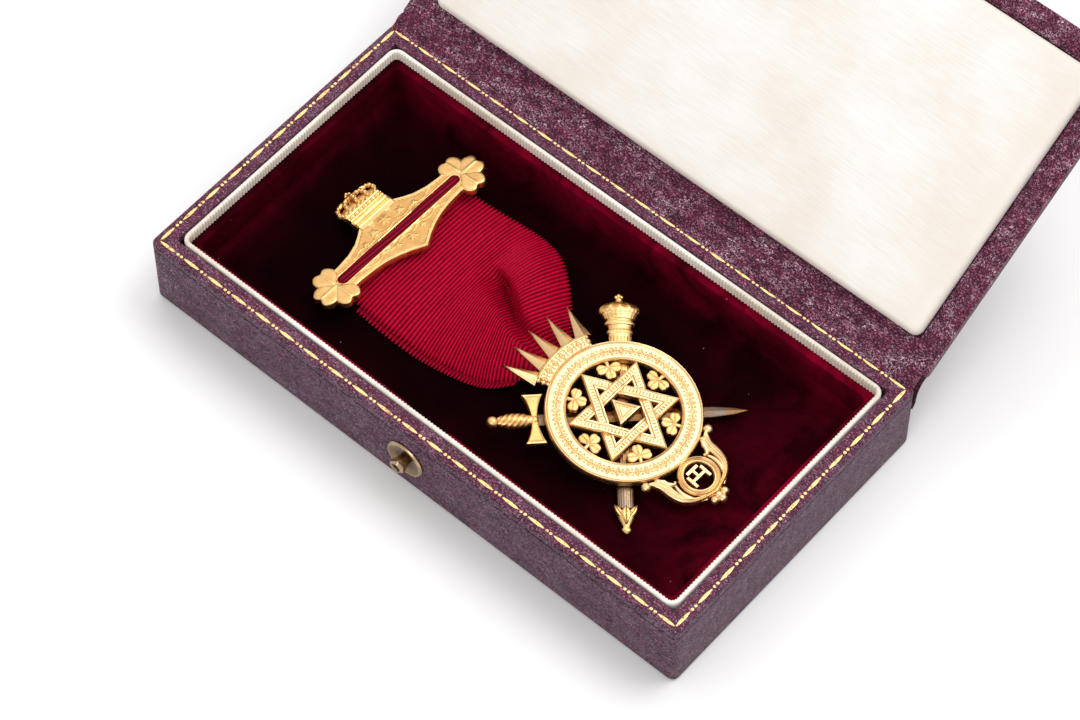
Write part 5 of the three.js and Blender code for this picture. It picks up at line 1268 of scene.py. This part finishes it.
# Scrolls and the small ring: two leafy scrolls run from the large ring round a small one and meet in a
# trefoil of balls. The small ring holds three upright T shapes joined at their feet.
SMALL_U = 20.65
SMALL_IN, SMALL_OUT = 3.1, 4.5
SMALL_STEPS = 240
SCROLL_STEPS = 120
SCROLL = [
    (14.25, 9.2, 15.45, 6.9), (15.6, 8.5, 16.5, 6.1), (17.2, 7.9, 17.9, 5.8), (19.5, 7.75, 19.6, 5.8),
    (21.9, 7.1, 21.3, 5.6), (23.7, 5.6, 22.9, 4.6), (24.8, 3.7, 23.9, 3.2), (25.4, 1.8, 24.4, 1.6),
    (25.9, 0, 24.6, 0),
]
scroll_rows = smooth_rows(SCROLL, SCROLL_STEPS)
small_degrees = 360 * (1 - 1 / SMALL_STEPS)
small_radius = np.linspace(SMALL_IN, SMALL_OUT, 20)[None, :]
small_relief = ridge(small_radius - 3.35, 0.25, 0.12) + ridge(small_radius - 4.2, 0.3, 0.28)
small_relief = small_relief + ridge(small_radius - 3.75, 0.2, -0.2)
small_relief = np.broadcast_to(small_relief, (SMALL_STEPS, small_relief.size))
# Painted shade: the small ring's groove is darker.
frame_skins = [ribbon_strip(
    circle(SMALL_IN, 0, small_degrees, SMALL_STEPS, (SMALL_U, 0)),
    circle(SMALL_OUT, 0, small_degrees, SMALL_STEPS, (SMALL_U, 0)),
    FACE, REAR, small_relief, closed=True, tone=np.clip(0.9 + 2 * small_relief, 0.3, 1),
)]


def bar_block(u0, u1, v0, v1, top, back):
    """A straight bar with rounded upper edges, as a strip along its longer side."""
    share = np.linspace(0, 1, 12)[:, None]
    still = 0 * share
    if u1 - u0 > v1 - v0:
        run = u0 + (u1 - u0) * share
        left, right = np.hstack([run, v0 + still]), np.hstack([run, v1 + still])
    else:
        run = v0 + (v1 - v0) * share
        left, right = np.hstack([u0 + still, run]), np.hstack([u1 + still, run])
    return ribbon_strip(left, right, top, back, np.zeros((12, 10)), tone=0.9, edge=0.16)


for u0, u1, v0, v1 in (
    (-2.35, -1.55, -1.55, 1.55), (-1.7, 0.35, -0.36, 0.36), (-0.36, 0.36, -2.0, 2.0),
    (-1.4, 1.45, 1.55, 2.35), (-1.4, 1.45, -2.35, -1.55), (-1.7, -1.4, -0.36, 0.36),
):
    frame_skins.append(bar_block(SMALL_U + u0, SMALL_U + u1, v0, v1, 0.55, -0.5))
for side in (-1, 1):
    flip = np.array([1, side])
    scroll_share = np.linspace(0, 1, 18)[None, :]
    taper = np.sin(np.clip(np.linspace(0, 1, SCROLL_STEPS) * 6, 0, math.pi / 2))[:, None]
    groove = np.exp(-(((scroll_share - 0.4) / 0.07) ** 2)) + np.exp(-(((scroll_share - 0.7) / 0.06) ** 2))
    scroll_relief = (0.4 * np.sin(scroll_share * math.pi) - 0.2 * groove) * taper
    outer_line, inner_line = scroll_rows[:, :2] * flip, scroll_rows[:, 2:] * flip
    frame_skins.append(ribbon_strip(outer_line, inner_line, 0.5, -0.7, scroll_relief))
    frame_skins.append(ball((14.7, side * 9.45, 0.1), 1.05, 0.8))
    frame_skins.append(ball((15.6, side * 6.9, 0.1), 0.8, 0.8))
    frame_skins.append(wire([
        (17.2, side * 5.9, 0.1), (18.0, side * 5.5, 0.15), (18.4, side * 4.9, 0.15),
        (18.1, side * 4.3, 0.1),
    ], [0.55, 0.6, 0.5, 0.35], 10))
    frame_skins.append(wire(
        [(15.7, side * 6.6, 0.1), (16.6, side * 6.0, 0.15), (17.6, side * 5.7, 0.1)], [0.5, 0.6, 0.4], 10,
    ))
    frame_skins.append(wire(
        np.column_stack([circle(5.3, 28, 118, 30, (SMALL_U, 0)) * flip, np.full(30, 0.1)]),
        0.12 + 0.4 * np.sin(np.linspace(0.02, 0.98, 30) * math.pi) ** 0.7, 10,
    ))
    frame_skins.append(ball((26.45, side * 1.5, 0.0), 0.95, 0.85, 24))
frame_skins.append(ball((27.25, 0, 0.0), 0.98, 0.85, 24))
frame_skins.append(ball((26.1, 0, 0.0), 0.9, 0.7, 24))
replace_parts(piece("scroll_work", frame_skins, pale_gilt, place=pendant_place), "scroll_frame")

# Sword: a gilt ball pommel, twisted grip and flared guard on a silver blade that has tarnished grey,
# brown under the ring and warm at its point. It lies behind the ring.
silver = metal("tarnished_silver", (0.27, 0.235, 0.20, 1), (0.33, 0.16, 0.055, 1), 0.32, 0.00003)
SWORD_W = -1.55
GUARD_REACH = 5.6
sword_place = pendant_place @ moved(0, 0, SWORD_W) @ rotation("Z", math.radians(48.6))
blade_s = np.linspace(-18.3, 25.8, 60)
blade_half = np.interp(blade_s, [-18.3, 0, 18.5, 23, 25.3, 25.8], [1.25, 1.22, 1.15, 0.75, 0.22, 0.05])
blade_share = np.linspace(-1, 1, 13)[None, :]
blade_left, blade_right = np.column_stack([blade_s, blade_half]), np.column_stack([blade_s, -blade_half])
blade_relief = (0.45 * (1 - np.abs(blade_share))) * (blade_half / 1.25)[:, None]
blade_tone = np.interp(
    blade_s, [-18, -16.5, -11, 11, 16.4, 18, 20.5, 22, 25.8], [0.6, 0.5, 0.1, 0.1, 0.3, 0.6, 0.75, 0.2, 0.0]
)
blade = ribbon_strip(
    blade_left, blade_right, 0.05, -0.4, blade_relief - 0.02, tone=blade_tone[:, None], edge=0.02
)
piece("sword_blade", [blade], silver, place=sword_place)
grip_s = np.linspace(0, 1, 70)
grip_radius = np.interp(grip_s, [0, 0.1, 0.35, 0.55, 0.8, 1], [1.0, 1.2, 1.6, 1.68, 1.5, 1.15])
grip_angle = np.linspace(0, 2 * math.pi, 40, endpoint=False)
twist = np.cos(5 * grip_angle[None, :] + grip_s[:, None] * 34)
# Painted shade: the grip is darker in the grooves of its twist.
grip = turned(
    np.column_stack([-25.9 + grip_s * 6.6, grip_radius]), 40, 0.85, 1 + 0.035 * twist, tone=0.6 + 0.4 * twist
)
hilt_skins = [
    grip, ball((-26.9, 0, 0), 1.25, 0.95, 28), ball((-25.9, 0, 0), 0.75, 0.9), ball((-19.2, 0, 0), 1.1, 0.9),
]
for side in (-1, 1):
    guard_t = np.linspace(0, 1, 30)
    guard_half = 0.55 + 1.65 * guard_t ** 1.7
    reach_v = side * GUARD_REACH * guard_t
    left = np.column_stack([-18.3 - guard_half, reach_v])
    right = np.column_stack([-18.3 + guard_half, reach_v])
    guard_side = np.abs(np.linspace(-1, 1, 22))[None, :]
    guard_rim = np.maximum(ridge(guard_side - 0.9, 0.16, 0.22), ridge(guard_t[:, None] - 0.96, 0.1, 0.22))
    guard_relief = guard_rim * guard_t[:, None] ** 0.3 + 0.1
    # Painted highlight: the guard's raised rim is brighter than its face.
    guard_tone = np.clip(0.5 + 3 * guard_rim, 0, 1)
    hilt_skins.append(ribbon_strip(left, right, 0.45, -0.5, guard_relief, tone=guard_tone))
hilt_skins.append(ball((-18.3, 0, 0.1), 0.95, 0.9))
hilt = piece("sword_hilt", hilt_skins, gilt, place=sword_place)
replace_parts(hilt, "sword")

# Sceptre: a flat-backed staff, gilt at its crowned head and leaf foot; the reeded shaft is tarnished
# silver, greyer towards the leaf foot and browner under the ring. It is halved where it crosses the sword.
SCEPTRE_W = -2.1
sceptre_place = pendant_place @ moved(0, 0, SCEPTRE_W) @ rotation("Z", math.radians(-45.9))
reed_angle = np.linspace(0, 2 * math.pi, 96, endpoint=False)
reeds = 1 + 0.06 * np.abs(np.cos(reed_angle * 9))[None, :]
# Painted shade between the reeds: the tone rises on each reed. Under the ring the tone is lower, for the
# browner tarnish.
shaft = turned(
    [(10.5, 1.7), (14, 1.68), (18, 1.6), (20.9, 1.55)], 96, 0.5, reeds, tone=0.35 + 0.5 * (reeds - 1) / 0.06
)
inner_shaft = turned([(-10.5, 1.95), (-3, 1.85)], 96, 0.5, reeds, tone=0.1 + 0.2 * (reeds - 1) / 0.06)
lower_shaft = turned([(3, 1.8), (10.6, 1.7)], 96, 0.5, reeds, tone=0.1 + 0.2 * (reeds - 1) / 0.06)
piece("sceptre_shaft", [shaft, inner_shaft, lower_shaft], silver, place=sceptre_place)
neck_s = np.linspace(-18.4, -10.4, 60)
grooved = np.column_stack([neck_s, np.interp(neck_s, [-17, -15], [2.35, 2.05])])
neck_share = 1 + 0.05 * np.abs(np.cos(reed_angle * 9))[None, :]
head_profile = np.array([
    (-27.2, 0.4), (-26.9, 1.2), (-26.5, 2.4), (-26.0, 3.3), (-25.5, 3.85), (-25.0, 4.1), (-24.4, 4.05),
    (-23.8, 3.7), (-23.2, 3.3), (-22.7, 3.15), (-22.5, 2.7), (-22.2, 2.6), (-22.0, 3.1), (-21.6, 3.2),
    (-21.3, 3.1), (-21.15, 2.6), (-20.8, 2.45), (-20.2, 2.45), (-19.9, 2.75), (-19.4, 2.8),
    (-19.2, 2.45), (-18.5, 2.4),
])
head_s = np.linspace(-27.2, -18.5, 130)
head_radius = np.interp(head_s, head_profile[:, 0], head_profile[:, 1])
head_side = np.abs(np.cos(reed_angle))[None, :]
arches = sum(np.exp(-(((head_side - place) / 0.09) ** 2)) for place in (0.0, 0.5, 0.97))
beads = np.abs(np.cos(reed_angle * 11))[None, :]
in_dome = (head_s < -24.75)[:, None]
in_band = ((head_s > -24.75) & (head_s < -23.9))[:, None]
in_cap = ((head_s > -23.7) & (head_s < -22.6))[:, None]
in_neck = ((head_s > -20.6) & (head_s < -19.5))[:, None]
head_share = 1 + 0.05 * arches * in_dome + (0.02 + 0.03 * beads) * in_band + 0.02 * beads * in_cap
# Painted shade: the dome is darker between its arches, and the band, cap and neck between their beads.
head_tone = np.where(in_dome, 0.2 + 0.8 * np.clip(arches, 0, 1), np.where(in_band, 0.5 + 0.5 * beads, 0.95))
head_tone = np.where(in_cap | in_neck, 0.45 + 0.55 * beads, head_tone)
head_skins = [
    turned(np.column_stack([head_s, head_radius]), 96, 0.42, head_share, tone=head_tone),
    turned(grooved, 96, 0.5, neck_share, tone=0.4 + 0.6 * (neck_share - 1) / 0.05),
    ball((-27.35, 0, 0), 0.75, 0.9), ball((-28.35, 0, 0), 0.5, 0.9), ball((-28.05, 0.55, 0), 0.42, 0.9),
    ball((-28.05, -0.55, 0), 0.42, 0.9),
]
leaf_foot = [
    leaf((22.2, 0), math.pi, 3.3, 1.9, -0.25, -0.6, 0.45, 0.5, 0.2),
    leaf((21.75, 1.35), math.radians(148), 3.0, 1.3, -0.35, -0.6, 0.25, 0.5, 0.2),
    leaf((21.75, -1.35), math.radians(-148), 3.0, 1.3, -0.35, -0.6, 0.25, 0.5, 0.2),
    turned([
        (20.9, 1.0), (21.6, 1.75), (22.4, 1.75), (23.2, 1.6), (24.0, 1.25), (24.7, 0.75),
        (25.1, 0.7), (25.5, 1.0), (25.9, 0.95), (26.3, 0.55), (26.5, 0.2),
    ], 40, 0.5, tone=0.85),
]
sceptre_gilt = piece("sceptre_head", head_skins + leaf_foot, gilt, place=sceptre_place)
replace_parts(sceptre_gilt, "sceptre")

# Hidden fittings: the pin behind the bar and the oval hanging loop under the crown are plain gilt wire.
# They keep the frame's own shapes.
for node_name in ("brooch_pin", "hanging_loop"):
    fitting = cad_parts[node_name]
    fitting.data.materials.clear()
    fitting.data.materials.append(gilt)
